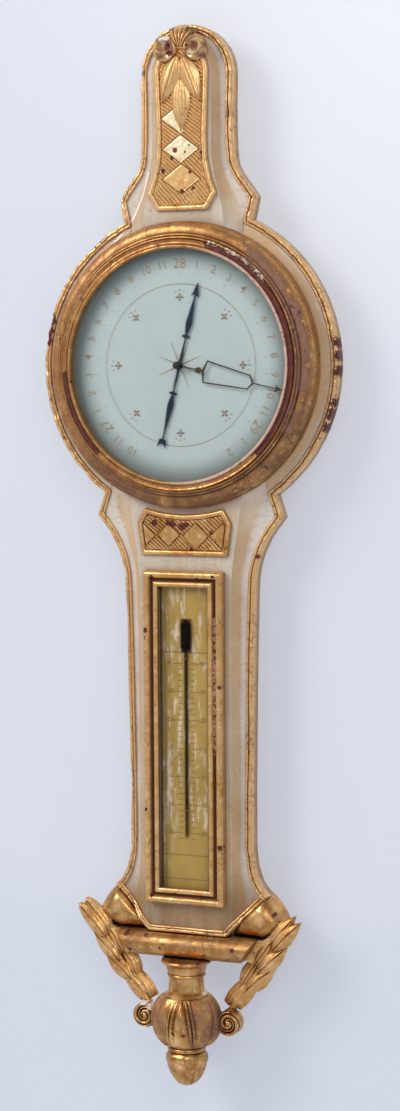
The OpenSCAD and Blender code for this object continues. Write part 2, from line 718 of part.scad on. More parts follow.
module setting_spindle() {
    color(brass) at_dial() pin(0, 0, spindle_r, set_f - 0.2, glass_f + glass_t + 0.3 - set_f + 0.2);
}
module setting_knob() {
    base = glass_f + glass_t + 0.3;
    color("#17130f") at_dial() translate([0, -base, 0]) turned() polygon([[0, 0], [knob_r, 0], [knob_r, 1.1],
        [knob_r - 0.9, 1.5], [knob_r - 0.9, knob_h - 2], [knob_r, knob_h - 1.6], [knob_r, knob_h - 0.7],
        [knob_r - 1, knob_h], [0, knob_h]]);
}

// A length of the thermometer frame: across it, in from the outer edge, and up from the field
module frame_bar(l) {
    w = frame_moulding_w;
    h = frame_h;
    sill = pane_back_f + pane_t - field_f;
    rotate([90, 0, 90]) difference() {
        union() {
            linear_extrude(l) polygon([[0, 0], [0, h - 3.2], [6.4, h - 3.2], [8, h - 5.6], [9.6, h - 4],
                [w, h - 4], [w, 0]]);
            translate([3.2, h - 3.2, 0]) cylinder(h = l, r = 3.2);
            translate([w - 2.6, h - 3.8, 0]) cylinder(h = l, r = 2.6);
        }
        translate([w - frame_rebate, -cut, -cut]) cube([frame_rebate + cut, sill + cut, l + 2 * cut]);
    }
}
// One length of frame along +X from 0 to l, cut to a mitre at both ends
module frame_length(l) {
    big = 4 * frame_moulding_w;
    difference() {
        frame_bar(l);
        rotate([0, 0, 45]) translate([-big, 0, -cut]) cube([2 * big, big, big]);
        translate([l, 0, 0]) rotate([0, 0, -45]) translate([-big, 0, -cut]) cube([2 * big, big, big]);
    }
}
// Stands a frame length up on the field, with its outer edge away from the glass
module on_field(x, z, turn) {
    color(gold) at_dial() translate([x, -field_f, z]) rotate([90, 0, 0]) rotate([0, 0, turn]) children();
}
frame_len = frame_foot_z - frame_top_z;
module frame_left() { on_field(-frame_w, -frame_top_z, -90) frame_length(frame_len); }
module frame_right() { on_field(frame_w, -frame_foot_z, 90) frame_length(frame_len); }
module frame_top() { on_field(frame_w, -frame_top_z, 180) frame_length(2 * frame_w); }
module frame_bottom() { on_field(-frame_w, -frame_foot_z, 0) frame_length(2 * frame_w); }
module thermometer_glass() {
    color("#dfe9e9", 0.2) at_dial() slab(pane_back_f, pane_t) rect(pane_w, -pane_foot_z, -pane_top_z);
}
module scale_plate() {
    color("#b6a667") at_dial() difference() {
        slab(plate_f - plate_t, plate_t) rect(plate_w, -plate_foot_z, -plate_top_z);
        slab(plate_f - plate_t - cut, plate_t + 2 * cut) rect(bulb_r + 0.4, -bulb_z - bulb_l - 1, -bulb_z + 1);
        for (z = tie_places) for (s = [-1, 1])
            pin(s * tie_reach, z, tie_r, plate_f - plate_t - cut, plate_t + 2 * cut);
    }
}
// Turned solid on the thermometer's own upright axis, z from the dial centre
module on_stem() {
    at_dial() translate([0, -stem_f, 0]) children();
}
module bulb_and_stem(r, br, top, foot, point) {
    translate([0, 0, top - bulb_l + br]) cylinder(h = bulb_l - 2 * br, r = br);
    translate([0, 0, top - br]) sphere(br);
    translate([0, 0, top - bulb_l + br]) sphere(br);
    translate([0, 0, foot + point]) cylinder(h = top - bulb_l + br - foot - point, r = r);
    translate([0, 0, foot]) cylinder(h = point, r1 = 0.2, r2 = r);
}
spirit_r = 0.5;
bulb_wall = 0.7;
module thermometer_tube() {
    color("#d9dccb", 0.5) on_stem() difference() {
        bulb_and_stem(stem_r, bulb_r, -bulb_z, -stem_end_z, 5);
        spirit_shape(-stem_end_z + 8, 0);
    }
}
module spirit_shape(foot, gap) {
    inner = bulb_r - bulb_wall - gap;
    translate([0, 0, -bulb_z - bulb_l + bulb_r]) cylinder(h = bulb_l - 2 * bulb_r, r = inner);
    translate([0, 0, -bulb_z - bulb_r]) sphere(inner);
    translate([0, 0, -bulb_z - bulb_l + bulb_r]) sphere(inner);
    translate([0, 0, foot]) cylinder(h = -bulb_z - bulb_l + bulb_r - foot, r = spirit_r - gap);
}
module thermometer_spirit() {
    color("#4a0f0a") on_stem() spirit_shape(-stem_end_z + 28, fill_play);
}
module tube_ties() {
    color(brass) at_dial() for (z = tie_places) translate([0, 0, z]) {
        for (s = [-1, 1]) pin(s * tie_reach, 0, tie_r, plate_f - 1.2, 1.2 + stem_r);
        translate([0, -stem_f, 0]) rotate([90, 0, 0]) rotate([90, 0, 0]) rotate_extrude(angle = 180)
            translate([tie_reach, 0]) circle(tie_r);
    }
}

// Outline of the crest panel, right side from the arch down
crest_r = neck_field_w - 1.7;
crest_top_z = arch_z + 0.5 + crest_r;
crest_side = concat(
    arc(0, arch_z + 0.5, crest_r, 80, 0, 8),
    [[crest_r - 1.6, arch_z - 43], [crest_r - 2.2, arch_z - 57], [crest_r - 1.4, bezel_r + 56.5]],
    [[crest_r + 2.4, bezel_r + 39], [crest_r + 7.8, bezel_r + 25.1], [crest_r - 1.7, bezel_r + 9.9]]);
crest_outline = concat([[0, crest_top_z]], crest_side, mirrored(crest_side));
// Outline of the lattice panel, right side from the top edge down
lattice_r = bezel_r + lattice_gap;
lattice_foot = -lattice_r - lattice_h;
lattice_side = concat(
    arc(0, 0, lattice_r, -88, -73.5, 4),
    [[trunk_field_w + 1.6, -lattice_r - 8], [trunk_field_w - 2.6, lattice_foot]]);
lattice_outline = concat([[0, -lattice_r]], lattice_side, mirrored(lattice_side));
// A rounded border on a closed outline
module border(path) {
    ring = [[0, 0], [0, 0.55], [0.25, 0.95], [0.55, 1], [0.85, 0.75], [1, 0.3], [1, 0]];
    n = len(ring);
    c = len(path);
    pts = [for (i = [0:c - 1], q = ring)
        at_depth(path[i] + q[0] * border_w * mitre(path, i), field_f + q[1] * border_h)];
    closed(pts, [for (i = [0:c - 1], j = [0:n - 1])
        let (k = (j + 1) % n, a = i * n, b = ((i + 1) % c) * n)
        each [[a + j, a + k, b + k], [a + j, b + k, b + j]]]);
}
// A low four sided lozenge on the ground of a panel
module lozenge(x, z, w, h) {
    f0 = field_f + panel_t - 0.4;
    closed([[x - w, -f0, z], [x, -f0, z + h], [x + w, -f0, z], [x, -f0, z - h], [x, -f0 - 2, z]],
        [[0, 1, 2], [0, 2, 3], [0, 4, 1], [1, 4, 2], [2, 4, 3], [3, 4, 0]]);
}
module crest_panel() {
    color(gold) at_dial() {
        border(crest_outline);
        slab(field_f, panel_t) polygon(inset(crest_outline, 0.6 * border_w));
        lozenge(0, bezel_r + 66.5, 0.65 * crest_r, 11.6);
        lozenge(0, bezel_r + 38.5, 0.69 * crest_r, 14.2);
    }
}
module lattice_panel() {
    pitch = 0.478 * trunk_field_w;
    color(gold) at_dial() {
        border(lattice_outline);
        slab(field_f, panel_t) polygon(inset(lattice_outline, 0.6 * border_w));
        for (x = [-pitch, 0, pitch]) lozenge(x, lattice_foot + 18, 10.2, 0.249 * lattice_h);
    }
}

// One blade of a carved leaf along +Y from its root, half width w, height h, with a raised rib
module leaf(l, w, h) {
    ts = [0.12, 0.3, 0.5, 0.68, 0.84];
    for (s = [-1, 1]) hull() {
        linear_extrude(0.45 * h) polygon(concat([[0, 0]],
            [for (t = ts) [s * w * sin(180 * pow(t, 0.8)), l * t]], [[0, l]]));
        linear_extrude(h) polygon([[0, 0.06 * l], [s * 0.12 * w, 0.45 * l], [0, 0.94 * l]]);
    }
}
// Lays a leaf on depth f with its root at [x, z] and its tip turned from straight down
module hung_leaf(x, z, f, turn, tilt, l, w, h) {
    translate([x, -f, z]) rotate([90, 0, 0]) rotate([0, 0, 180 + turn]) rotate([-tilt, 0, 0]) leaf(l, w, h);
}
leaf_f = field_f + panel_t;
module crest_leaves() {
    color(gold) at_dial() {
        hung_leaf(0, dome_z - 15, leaf_f, 0, 0, leaf_l, leaf_w, 5);
        for (s = [-1, 1]) hung_leaf(s * 5, dome_z - 9, leaf_f, s * 19, 0, 0.71 * leaf_l, 0.89 * leaf_w, 5.6);
        intersection() {
            for (s = [-1, 1]) hung_leaf(s * 12, dome_z - 11, leaf_f, s * 27, 0, 0.435 * leaf_l, 0.67 * leaf_w, 3);
            slab(leaf_f, border_h) polygon(inset(crest_outline, border_w + play));
        }
    }
}
module crest_dome(side) {
    dome_f = field_f - 1.5;
    color(gold) at_dial() translate([side * dome_x, 0, dome_z]) difference() {
        translate([0, -dome_f, 0]) sphere(dome_r);
        translate([-2 * dome_r, -field_f - panel_t - 6, -2 * dome_r]) {
            translate([0, 6 - border_h + panel_t, 0]) cube([4 * dome_r, 60, 4 * dome_r]);
        }
        // The scooped hollow of the loop
        translate([side * 3, -dome_f - dome_r - 1.5, 4]) sphere(0.5 * dome_r);
    }
}
module crest_dome_left() { crest_dome(-1); }
module crest_dome_right() { crest_dome(1); }
// A fluted fan: ring i lies across it at one distance from its root
shell_flutes = 5;
shell_spread = 38;
module crest_shell() {
    root_z = dome_z - 1;
    per = 4;
    steps = shell_flutes * per;
    border_f = field_f + border_h;
    rest_f = board_t + 0.85 * bead_h;
    function place(r, a, f) = at_depth([r * cos(a), root_z + r * sin(a)], f);
    function row(r, back, front, flute) = concat(
        [for (k = [0:steps])
            place(r, 90 + shell_spread * (1 - 2 * k / steps), front + flute * abs(sin(180 * k / per)))],
        [for (a = [90 - shell_spread, 90 + shell_spread]) place(r, a, back)]);
    color(gold) at_dial() skin([row(3, border_f, border_f + 1.4, 0.4), row(6, border_f, border_f + 2, 1),
        row(7.2, field_f + 0.4, border_f + 2.1, 1.3), row(10, field_f - 1.4, border_f + 2, 2),
        row(14, field_f - 6, border_f + 0.5, 2.6), row(19, rest_f, border_f - 2.5, 2.4),
        row(22, rest_f, border_f - 5, 1.2)]);
}

// The rolled shoulder beside the base, right hand side
module scroll(side) {
    top = [base_w, -base_z];
    along = unit(base_corner - top);
    out = [-along[1], along[0]];
    roll_r = 26;
    roll_c = top + 3 * out;
    crown_r = 62;
    back = 3;
    tilt = atan2(along[1], along[0]);
    color(gold) at_dial() mirror([side < 0 ? 1 : 0, 0, 0]) intersection() {
        slab(back, field_f + 2) polygon([top, [90, -512], [94.5, -521], [92, -529], [74, -bar_top_z],
            [bottom_w, -bar_top_z], base_corner]);
        at_depth_line(roll_c, back, -tilt) translate([0, 0, -60]) cylinder(h = 160, r = roll_r);
        translate(at_depth(top + 30 * along + 5 * out, field_f - crown_r)) sphere(crown_r);
    }
}
// Turns an upright shape to lie along a line on the front, `turn` below the horizontal
module at_depth_line(p, f, turn) {
    translate(at_depth(p, f)) rotate([0, 90 + turn, 0]) children();
}
module scroll_left() { scroll(-1); }
module scroll_right() { scroll(1); }

module base_bar() {
    back = 3;
    belly = bar_h / 2;
    taper = bar_taper;
    color(gold) at_dial() intersection() {
        slab(back, bar_f) polygon([[-bar_w, -bar_top_z], [bar_w, -bar_top_z],
            [bar_w - taper, -bar_top_z - bar_h], [-bar_w + taper, -bar_top_z - bar_h]]);
        translate([-bar_w, 0, -bar_top_z - belly]) rotate([90, 0, 90]) linear_extrude(2 * bar_w) union() {
            translate([-bar_f + belly, -belly]) square([bar_f - belly - back, bar_h]);
            translate([-bar_f + belly, 0]) circle(belly);
        }
    }
}

// A turned shape on the pendant's upright axis, z from the dial centre
module on_pendant() {
    at_dial() translate([0, -pendant_f, 0]) children();
}
// Angle up from the ball's middle to its flattened ends
ball_cap = 46;
neck_foot_z = ball_z - ball_r * sin(ball_cap);
module pendant_neck() {
    color(gold) on_pendant() union() {
        rotate_extrude() polygon([[0, -bar_foot_z], [23.5, -bar_foot_z], [24.2, -bar_foot_z - 1.2],
            [23.5, -bar_foot_z - 2.6], [20, -bar_foot_z - 5.5], [17.6, -bar_foot_z - 12.5],
            [16.9, -bar_foot_z - 13.5], [16.4, -bar_foot_z - 18], [17.2, -neck_foot_z + 5],
            [20.2, -neck_foot_z + 2.6], [20.5, -neck_foot_z], [0, -neck_foot_z]]);
        rotate_extrude() translate([16.6, -bar_foot_z - 14.4]) circle(1.8);
    }
}
ball_rows = 12;
// Height of the ball's surface round one lobe, between two beads on each side
lobe = [[0, 0.95], [0.07, 0.985], [0.14, 0.945], [0.3, 0.985], [0.5, 1], [0.7, 0.985], [0.86, 0.945],
    [0.93, 0.985]];
module pendant_ball() {
    around = ball_lobes * len(lobe);
    rings = [for (i = [0:ball_rows]) let (a = -ball_cap + 2 * ball_cap * i / ball_rows)
        [for (j = [0:around - 1])
            let (q = lobe[j % len(lobe)], t = 360 / ball_lobes * (floor(j / len(lobe)) + q[0] - 0.5) - 90)
            let (r = ball_r * cos(a) * (1 - (1 - q[1]) * cos(a)))
            [r * cos(t), r * sin(t), ball_r * sin(a)]]];
    color(gold) on_pendant() translate([0, 0, -ball_z]) ball_skin(rings);
}
// A skin whose end rings close on a centre point
module ball_skin(rings) {
    n = len(rings[0]);
    last = len(rings) - 1;
    low = len(rings) * n;
    sides = [for (i = [0:last - 1], j = [0:n - 1]) let (k = (j + 1) % n)
        each [[i * n + j, (i + 1) * n + k, i * n + k], [i * n + j, (i + 1) * n + j, (i + 1) * n + k]]];
    caps = [for (j = [0:n - 1]) let (k = (j + 1) % n)
        each [[low, j, k], [low + 1, last * n + k, last * n + j]]];
    closed(concat([for (r = rings) each r], [[0, 0, rings[0][0][2]], [0, 0, rings[last][0][2]]]),
        concat(sides, caps));
}
module pendant_bud() {
    top = -ball_z - ball_r * sin(ball_cap);
    foot = -tip_z;
    bead = 2.6;
    bulge = bud_r - 1;
    color(gold) on_pendant() rotate_extrude() intersection() {
        union() {
            translate([0, top - 2.2]) square([18.5, 2.2]);
            translate([17.6, top - 2.2 - bead]) circle(bead);
            translate([0, top - 2.2 - 2 * bead]) square([17.6, 2 * bead + 2.2]);
            polygon(concat([[0, foot]], curve([[0, foot], [11, foot + 1], [bud_r - 5, foot + 8],
                [bulge, top - 19]], [0.15, 0.3, 0.5, 0.7, 0.85, 1]),
                curve([[bulge, top - 19], [bud_r + 1.2, top - 14], [bud_r, top - 7.5], [17, top - 6.5]],
                [0.3, 0.6, 1]), [[0, top - 6.5]]));
        }
        translate([0, foot]) square([2 * bud_r, top - foot]);
    }
}

// A spiral band from the rim to the eye, as an outline
function spiral(r0, r1, turns, n) = [for (i = [0:n]) let (t = i / n, r = r0 + (r1 - r0) * t)
    polar(r, 200 - 360 * turns * t)];
module volute(side) {
    band = 3;
    outer = spiral(volute_r, 4.4, 1.4, 36);
    inner = spiral(volute_r - band, 2.6, 1.4, 36);
    f = pendant_f - 3 - volute_t / 2;
    color(gold) at_dial() mirror([side < 0 ? 1 : 0, 0, 0]) difference() {
        translate([volute_x, 0, -ball_z]) {
            slab(f, volute_t - 2.5) circle(volute_r - 0.8);
            slab(f, volute_t) polygon(concat(outer, [for (i = [len(inner) - 1:-1:0]) inner[i]]));
            slab(f, volute_t) circle(3);
            slab(f, volute_t) translate([-4, volute_r - 4]) square([8, 4]);
        }
        translate([0, -pendant_f, -ball_z]) sphere(ball_r);
    }
}
module volute_left() { volute(-1); }
module volute_right() { volute(1); }

// Leaves of a laurel branch, from the top of the volute: root x, root z, turn from straight up,
// length, half width, lift
laurel_leaves = [
    [-3, 1.5, -33, 44, 7.5, 0], [2, 3.5, -42, 46, 8.5, 2], [9, 19.5, -30, 44, 8, 0],
    [14, 17.5, -48, 42, 8.5, 3], [23, 41.5, -33, 44, 8, 1], [27, 35.5, -47, 40, 8, 4],
    [39, 62.5, -36, 40, 7.5, 2], [43, 57.5, -46, 40, 7.5, 5]];
// The point on the slanted end of the bar, at the share s of its height
function bar_end(s) = [bar_w - s * bar_taper, -bar_top_z - s * bar_h];
module laurel(side) {
    f = pendant_f - 12;
    k = volute_r / 12.5;
    out = bar_h * [0.7, -0.26];
    color(gold) at_dial() mirror([side < 0 ? 1 : 0, 0, 0]) {
        translate([volute_x, 0, volute_r - ball_z]) {
            for (p = laurel_leaves)
                translate([p[0] * k, -f - p[5] * k, p[1] * k]) rotate([90, 0, 0]) rotate([0, 0, p[2]])
                    leaf(p[3] * k, p[4] * k, 7 * k);
            hull() {
                slab(f + 2.5 * k, 5.5 * k) translate([-3.5 * k, 0]) square([7 * k, 6 * k]);
                pin(61 * k, 85.5 * k, 2 * k, f + 3, 6 * k);
            }
        }
        slab(f, 6) polygon([bar_end(0.3), bar_end(0.3) + out, bar_end(0.9) + out, bar_end(0.9)]);
    }
}
module laurel_left() { laurel(-1); }
module laurel_right() { laurel(1); }

// The siphon: the shape of radius r on the tube's axis from the closed top to the open end
module siphon(r, top, open_top) {
    translate([long_x, -tube_f, -bend_z]) cylinder(h = top + bend_z, r = r);
    translate([short_x, -tube_f, -bend_z]) cylinder(h = bend_z - open_top, r = r);
    translate([(long_x + short_x) / 2, -tube_f, -bend_z]) rotate([90, 0, 0])
        rotate([0, 0, 180]) rotate_extrude(angle = 180) translate([bend_r, 0]) circle(r);
}
module siphon_tube() {
    end_wall = 3;
    color("#dfe9e9", 0.35) at_dial() difference() {
        siphon(tube_r, tube_top_z, short_top_z);
        siphon(bore_r, tube_top_z - end_wall, short_top_z - cut);
    }
}
short_column_z = -bend_z + 1;
module mercury() {
    color("silver") at_dial() siphon(bore_r - fill_play, -low_level_z + pressure_h, -short_column_z);
}
module mercury_short() {
    color("silver") at_dial() translate([short_x, -tube_f, short_column_z])
        cylinder(h = float_bottom_z - short_column_z, r = bore_r - fill_play);
}
module float() {
    eye = 1.1;
    color("#e8e4d8") at_dial() translate([short_x, -tube_f, float_bottom_z]) {
        translate([0, 0, float_r]) cylinder(h = float_l - 2 * float_r, r = float_r);
        translate([0, 0, float_r]) sphere(float_r);
        translate([0, 0, float_l - float_r]) sphere(float_r);
        translate([0, 0, float_l - 0.6]) cylinder(h = eye + 0.6, r = 0.7);
    }
}
module float_thread() {
    eye = 1.1;
    color("#cfc29a") at_dial() translate([short_x, -tube_f, float_top_z + eye])
        cylinder(h = -float_top_z - eye, r = thread_r);
}
module counterweight() {
    color(brass) at_dial() translate([-thread_track_r, -tube_f - groove_pitch, -weight_z - weight_l]) {
        cylinder(h = weight_l - 1.5, r = float_r);
        translate([0, 0, weight_l - 1.5]) cylinder(h = 1.5, r1 = float_r, r2 = 0.8);
    }
}
module weight_thread() {
    color("#cfc29a") at_dial() translate([-thread_track_r, -tube_f - groove_pitch, -weight_z])
        cylinder(h = weight_z, r = thread_r);
}

module hanging_plate() {
    color(iron) at_dial() difference() {
        slab(0, hang_plate_t) plate_outline(0);
        pin(0, hang_z, hang_hole_r, -cut, hang_plate_t + 2 * cut);
        for (s = [-1, 1]) pin(0, hang_z + s * (hang_plate_h - 4), screw_r, -cut, hang_plate_t + 2 * cut);
        for (s = [-1, 1]) pin(0, hang_z + s * (hang_plate_h - 4), screw_head_r, -cut, 0.9 + cut);
    }
}
module plate_screws() {
    color(iron) at_dial() for (s = [-1, 1])
        fixing(0, hang_z + s * (hang_plate_h - 4), 0.9, fixing_depth, screw_head_r - run_play, screw_r);
}

back_board();
edge_moulding_left();
edge_moulding_right();
base_listel();
neck_field();
neck_hollow();
trunk_field();
trunk_hollow_left();
trunk_hollow_right();
body_drum();
bezel();
dial_board();
dial_plate();
dial_glass();
glass_fillet();
index_hand();
index_arbor();
arbor_bush();
pulley();
bridge();
bridge_screws();
setting_hand();
setting_spindle();
setting_knob();
frame_left();
frame_right();
frame_top();
frame_bottom();
thermometer_glass();
scale_plate();
thermometer_tube();
thermometer_spirit();
tube_ties();
crest_panel();
crest_leaves();
crest_dome_left();
crest_dome_right();
crest_shell();
lattice_panel();
scroll_left();
scroll_right();
base_bar();
pendant_neck();
pendant_ball();
pendant_bud();
laurel_left();
laurel_right();
volute_left();
volute_right();
siphon_tube();
mercury();
mercury_short();
float();
float_thread();
counterweight();
weight_thread();
tube_straps();
strap_nails();
hanging_plate();
plate_screws();
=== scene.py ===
"""A painted and gilded wooden wheel barometer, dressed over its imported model.
Sizes are millimetres from the dial centre: x across, f forward from the wall, z up."""

import math

import bmesh
import bpy
import numpy as np
from mathutils import Matrix, Vector, noise


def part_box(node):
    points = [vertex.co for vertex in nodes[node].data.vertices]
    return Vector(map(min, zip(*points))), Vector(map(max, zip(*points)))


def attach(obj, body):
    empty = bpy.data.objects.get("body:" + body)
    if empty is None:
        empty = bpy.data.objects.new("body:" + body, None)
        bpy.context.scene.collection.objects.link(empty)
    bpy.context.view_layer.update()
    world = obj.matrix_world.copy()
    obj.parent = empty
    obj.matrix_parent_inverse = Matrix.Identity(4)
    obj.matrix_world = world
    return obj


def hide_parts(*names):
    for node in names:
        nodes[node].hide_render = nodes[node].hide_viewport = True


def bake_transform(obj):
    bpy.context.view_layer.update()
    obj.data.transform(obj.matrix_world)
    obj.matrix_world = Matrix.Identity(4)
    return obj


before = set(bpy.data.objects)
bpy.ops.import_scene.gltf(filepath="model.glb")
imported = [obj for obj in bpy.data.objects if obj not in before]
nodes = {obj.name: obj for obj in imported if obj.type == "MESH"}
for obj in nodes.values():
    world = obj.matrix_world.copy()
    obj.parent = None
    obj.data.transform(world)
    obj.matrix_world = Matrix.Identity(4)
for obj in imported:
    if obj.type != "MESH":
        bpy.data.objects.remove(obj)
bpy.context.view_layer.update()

# Sizes shared with the solids
HANG_Z = 281.5
ARCH_R, ARCH_Z = 46.5, 269.0
BODY_R, BEZEL_R = 149.0, 133.5
BOARD_F, HOLLOW_F, BAND_F, FIELD_F = 17.0, 19.5, 22.5, 30.0
EDGE_W = 6.5
DIAL_F, SCALE_F = 38.5, 28.5
PENDANT_F = 33.0
BALL_Z, BALL_R, BALL_CAP = 620.0, 32.0, 46.0


def metres(x, f, z):
    """A point given from the dial centre and the wall, in the model's frame."""
    return (x / 1000, -f / 1000, (z - HANG_Z) / 1000)


# Materials


def linear(code):
    """An sRGB hex colour as the linear one a shader takes."""
    parts = [int(code[i : i + 2], 16) / 255 for i in (1, 3, 5)]
    return (*[c / 12.92 if c <= 0.04045 else ((c + 0.055) / 1.055) ** 2.4 for c in parts], 1.0)


def feed(tree, node, inputs):
    """Gives a node its inputs, each a value, a hex colour or another node's output."""
    for name, value in inputs.items() if isinstance(inputs, dict) else enumerate(inputs):
        if isinstance(value, bpy.types.NodeSocket):
            tree.links.new(value, node.inputs[name])
        else:
            node.inputs[name].default_value = linear(value) if isinstance(value, str) else value


def add(tree, kind, inputs=(), out=0, **settings):
    """Adds a shader node and gives one of its outputs. A second word in kind is the node's operation."""
    kind, _, operation = kind.partition(" ")
    made = tree.nodes.new("ShaderNode" + kind)
    if operation:
        made.operation = operation
    for name, value in settings.items():
        setattr(made, name, value)
    feed(tree, made, inputs)
    return made.outputs[out]


def new_finish(name):
    """An empty material with its tree, shader and the place of each point in the model."""
    finish = bpy.data.materials.new(name)
    finish.use_nodes = True
    tree = finish.node_tree
    return finish, tree, tree.nodes["Principled BSDF"], add(tree, "TexCoord", out="Object")


def layered(tree, ground, *layers):
    """Colours laid over a ground one after another. Each is (mask, colour) and covers where its mask is 1."""
    for mask, colour in layers:
        ground = add(tree, "Mix", {0: mask, 6: ground, 7: colour}, 2, data_type="RGBA")
    return ground


def patches(tree, place, size_mm, low, high, detail=4.0, rough=0.6, stretch=(1, 1, 1)):
    """A mask of patches about size_mm across, 0 below the share low of the noise and 1 above high."""
    moved = add(tree, "Mapping", {"Vector": place, "Scale": [1 / s for s in stretch]})
    grit = {"Vector": moved, "Scale": 1000 / size_mm, "Detail": detail, "Roughness": rough}
    return add(tree, "MapRange", (add(tree, "TexNoise", grit), low, high))


def torn(tree, place, near, size_mm=5):
    """Turns a mask that fades outwards into one with a torn edge, as flaking leaves it."""
    wander = add(tree, "Math MULTIPLY", (patches(tree, place, size_mm, 0.3, 0.7, 5.0, 0.65), 0.6))
    return add(tree, "MapRange", (add(tree, "Math ADD", (near, wander)), 0.63, 0.67))


def on_case(tree, place, way):
    """Millimetres right of the dial centre (X), forward from the wall (Y) or up from the dial centre (Z)."""
    scaled = add(tree, "VectorMath MULTIPLY_ADD", (place, (1000, -1000, 1000), (0, 0, HANG_Z)))
    return add(tree, "SeparateXYZ", (scaled,), way)


def seen_flat(tree, place):
    """The place as seen from the front, (x, z, 0) from the dial centre."""
    return add(tree, "CombineXYZ", (on_case(tree, place, "X"), on_case(tree, place, "Z"), 0.0))


def radius_at(tree, place):
    """Distance from the dial's axis in millimetres."""
    return add(tree, "VectorMath LENGTH", (seen_flat(tree, place),), 1)


def turn_at(tree, place):
    """Angle about the dial's axis in degrees, up from the right."""
    turn = add(tree, "Math ARCTAN2", (on_case(tree, place, "Z"), on_case(tree, place, "X")))
    return add(tree, "Math MULTIPLY", (turn, math.degrees(1)))


def near_spots(tree, place, listed):
    """A mask of listed places, each (x, z, reach) from the dial centre, that fades out over their reach."""
    flat = seen_flat(tree, place)
    mask = 0.0
    for x, z, reach in listed:
        gone = add(tree, "VectorMath DISTANCE", (flat, (x, z, 0)), 1)
        near = add(tree, "MapRange", (gone, 0.0, reach, 1.0, 0.0))
        mask = add(tree, "Math MAXIMUM", (mask, near))
    return mask


def worn_spots(tree, place, listed):
    """A mask of worn places with torn edges."""
    return torn(tree, place, near_spots(tree, place, listed), 3) if listed else 0.0


def window(tree, value, low, high, soft):
    """1 between low and high, fading to 0 over soft on either side."""
    rise = add(tree, "MapRange", (value, low - soft, low))
    fall = add(tree, "MapRange", (value, high, high + soft, 1.0, 0.0))
    return add(tree, "Math MULTIPLY", (rise, fall))


# The bezel's mouldings, by inner and outer radius
LIP, COVE, BEADS = (107, 110.9), (111.5, 115.6), (115.5, 118.5)
CROWN, BIG_ROUND = (118.8, 129.0), (121.2, 134)


def bezel_wear(tree, place):
    """Where the bezel has lost its gold: the cove is down to red clay on the right and low on the
    left, and the crown of the big round is rubbed to a mauve brown on the right with a torn edge."""
    radius, turn = radius_at(tree, place), turn_at(tree, place)

    def stretch_of(ring, soft, start, end, fade):
        """A mask of one moulding between two angles."""
        here = (window(tree, radius, *ring, soft), window(tree, turn, start, end, fade))
        return add(tree, "Math MULTIPLY", here)

    cove = (stretch_of(COVE, 0.7, -37, 66, 14), stretch_of(COVE, 0.7, -172, -139, 8))
    crown = add(tree, "Math MULTIPLY", (stretch_of(CROWN, 2.4, -24, 50, 16), 0.66))
    # Islands of gold are left standing in the rubbed crown
    islands = patches(tree, place, 12, 0.545, 0.565, 4.0)
    mauve = add(tree, "Math SUBTRACT", (torn(tree, place, crown, 14), islands), use_clamp=True)
    # The left of the big round is dull with handling
    from_right = add(tree, "Math ABSOLUTE", (turn,))
    left = (window(tree, radius, *BIG_ROUND, 0.8), window(tree, from_right, 118, 190, 26))
    dull = add(tree, "Math MULTIPLY", (add(tree, "Math MULTIPLY", left), 0.2))
    beads = add(tree, "Math MULTIPLY", (stretch_of(BEADS, 0.8, 44, 72, 12), 0.3))
    # The underside of the big round is browner in patches
    below = (stretch_of((119, 134), 2, -134, -28, 20), patches(tree, place, 26, 0.3, 0.56))
    return {
        "clay": torn(tree, place, add(tree, "Math MAXIMUM", cove), 7),
        "brown": add(tree, "Math MULTIPLY", (add(tree, "Math MULTIPLY", below), 0.78)),
        "mauve": add(tree, "Math MAXIMUM", (mauve, dull)),
        "chalk": torn(tree, place, beads, 3),
        "pink": stretch_of(LIP, 0.3, -78, 62, 20),
    }


def edge_side_shade(tree, place):
    """Painted shade: the outer side of the gilt edge is painted brown, darkest next to the wall."""
    return {"brown": add(tree, "MapRange", (on_case(tree, place, "Y"), 10, 16.5, 0.6, 0.0))}


def crest_wear(tree, place):
    """Brown varnish is left on the loops, and the fan between them is clean."""
    across, up = on_case(tree, place, "X"), on_case(tree, place, "Z")
    aside = window(tree, add(tree, "Math ABSOLUTE", (across,)), 6.5, 30, 1.5)
    loops = add(tree, "Math MULTIPLY", (aside, window(tree, up, 283.5, 311.5, 4)))
    return {"mauve": add(tree, "Math MULTIPLY", (loops, patches(tree, place, 9, 0.34, 0.56)))}


def foot_wear_and_highlights(tree, place):
    """The ball's side lobes and parts of the bar are dull and brown, and the crowns of the scrolls,
    the ball and the bud carry a painted highlight."""
    across, up = on_case(tree, place, "X"), on_case(tree, place, "Z")
    aside = window(tree, add(tree, "Math ABSOLUTE", (across,)), 12.5, 36, 2)
    lobes = add(tree, "Math MULTIPLY", (aside, window(tree, up, -643.5, -599.5, 3)))
    dull = add(tree, "Math MULTIPLY", (lobes, patches(tree, place, 14, 0.3, 0.55)))
    streaks = patches(tree, place, 16, 0.42, 0.62, 4.0, 0.6, (2, 1, 1))
    smoked = add(tree, "Math MULTIPLY", (window(tree, up, -563, -539.5, 1), streaks))
    # Painted highlights on the crowns of the scrolls, the ball and the bud
    highlight_spots = near_spots(tree, place, FOOT_PAINTED_HIGHLIGHTS)
    return {
        "mauve": add(tree, "Math MULTIPLY", (dull, 0.72)),
        "brown": add(tree, "Math MULTIPLY", (smoked, 0.5)),
        "painted_highlight": add(tree, "Math MULTIPLY", (highlight_spots, 1.1), use_clamp=True),
    }


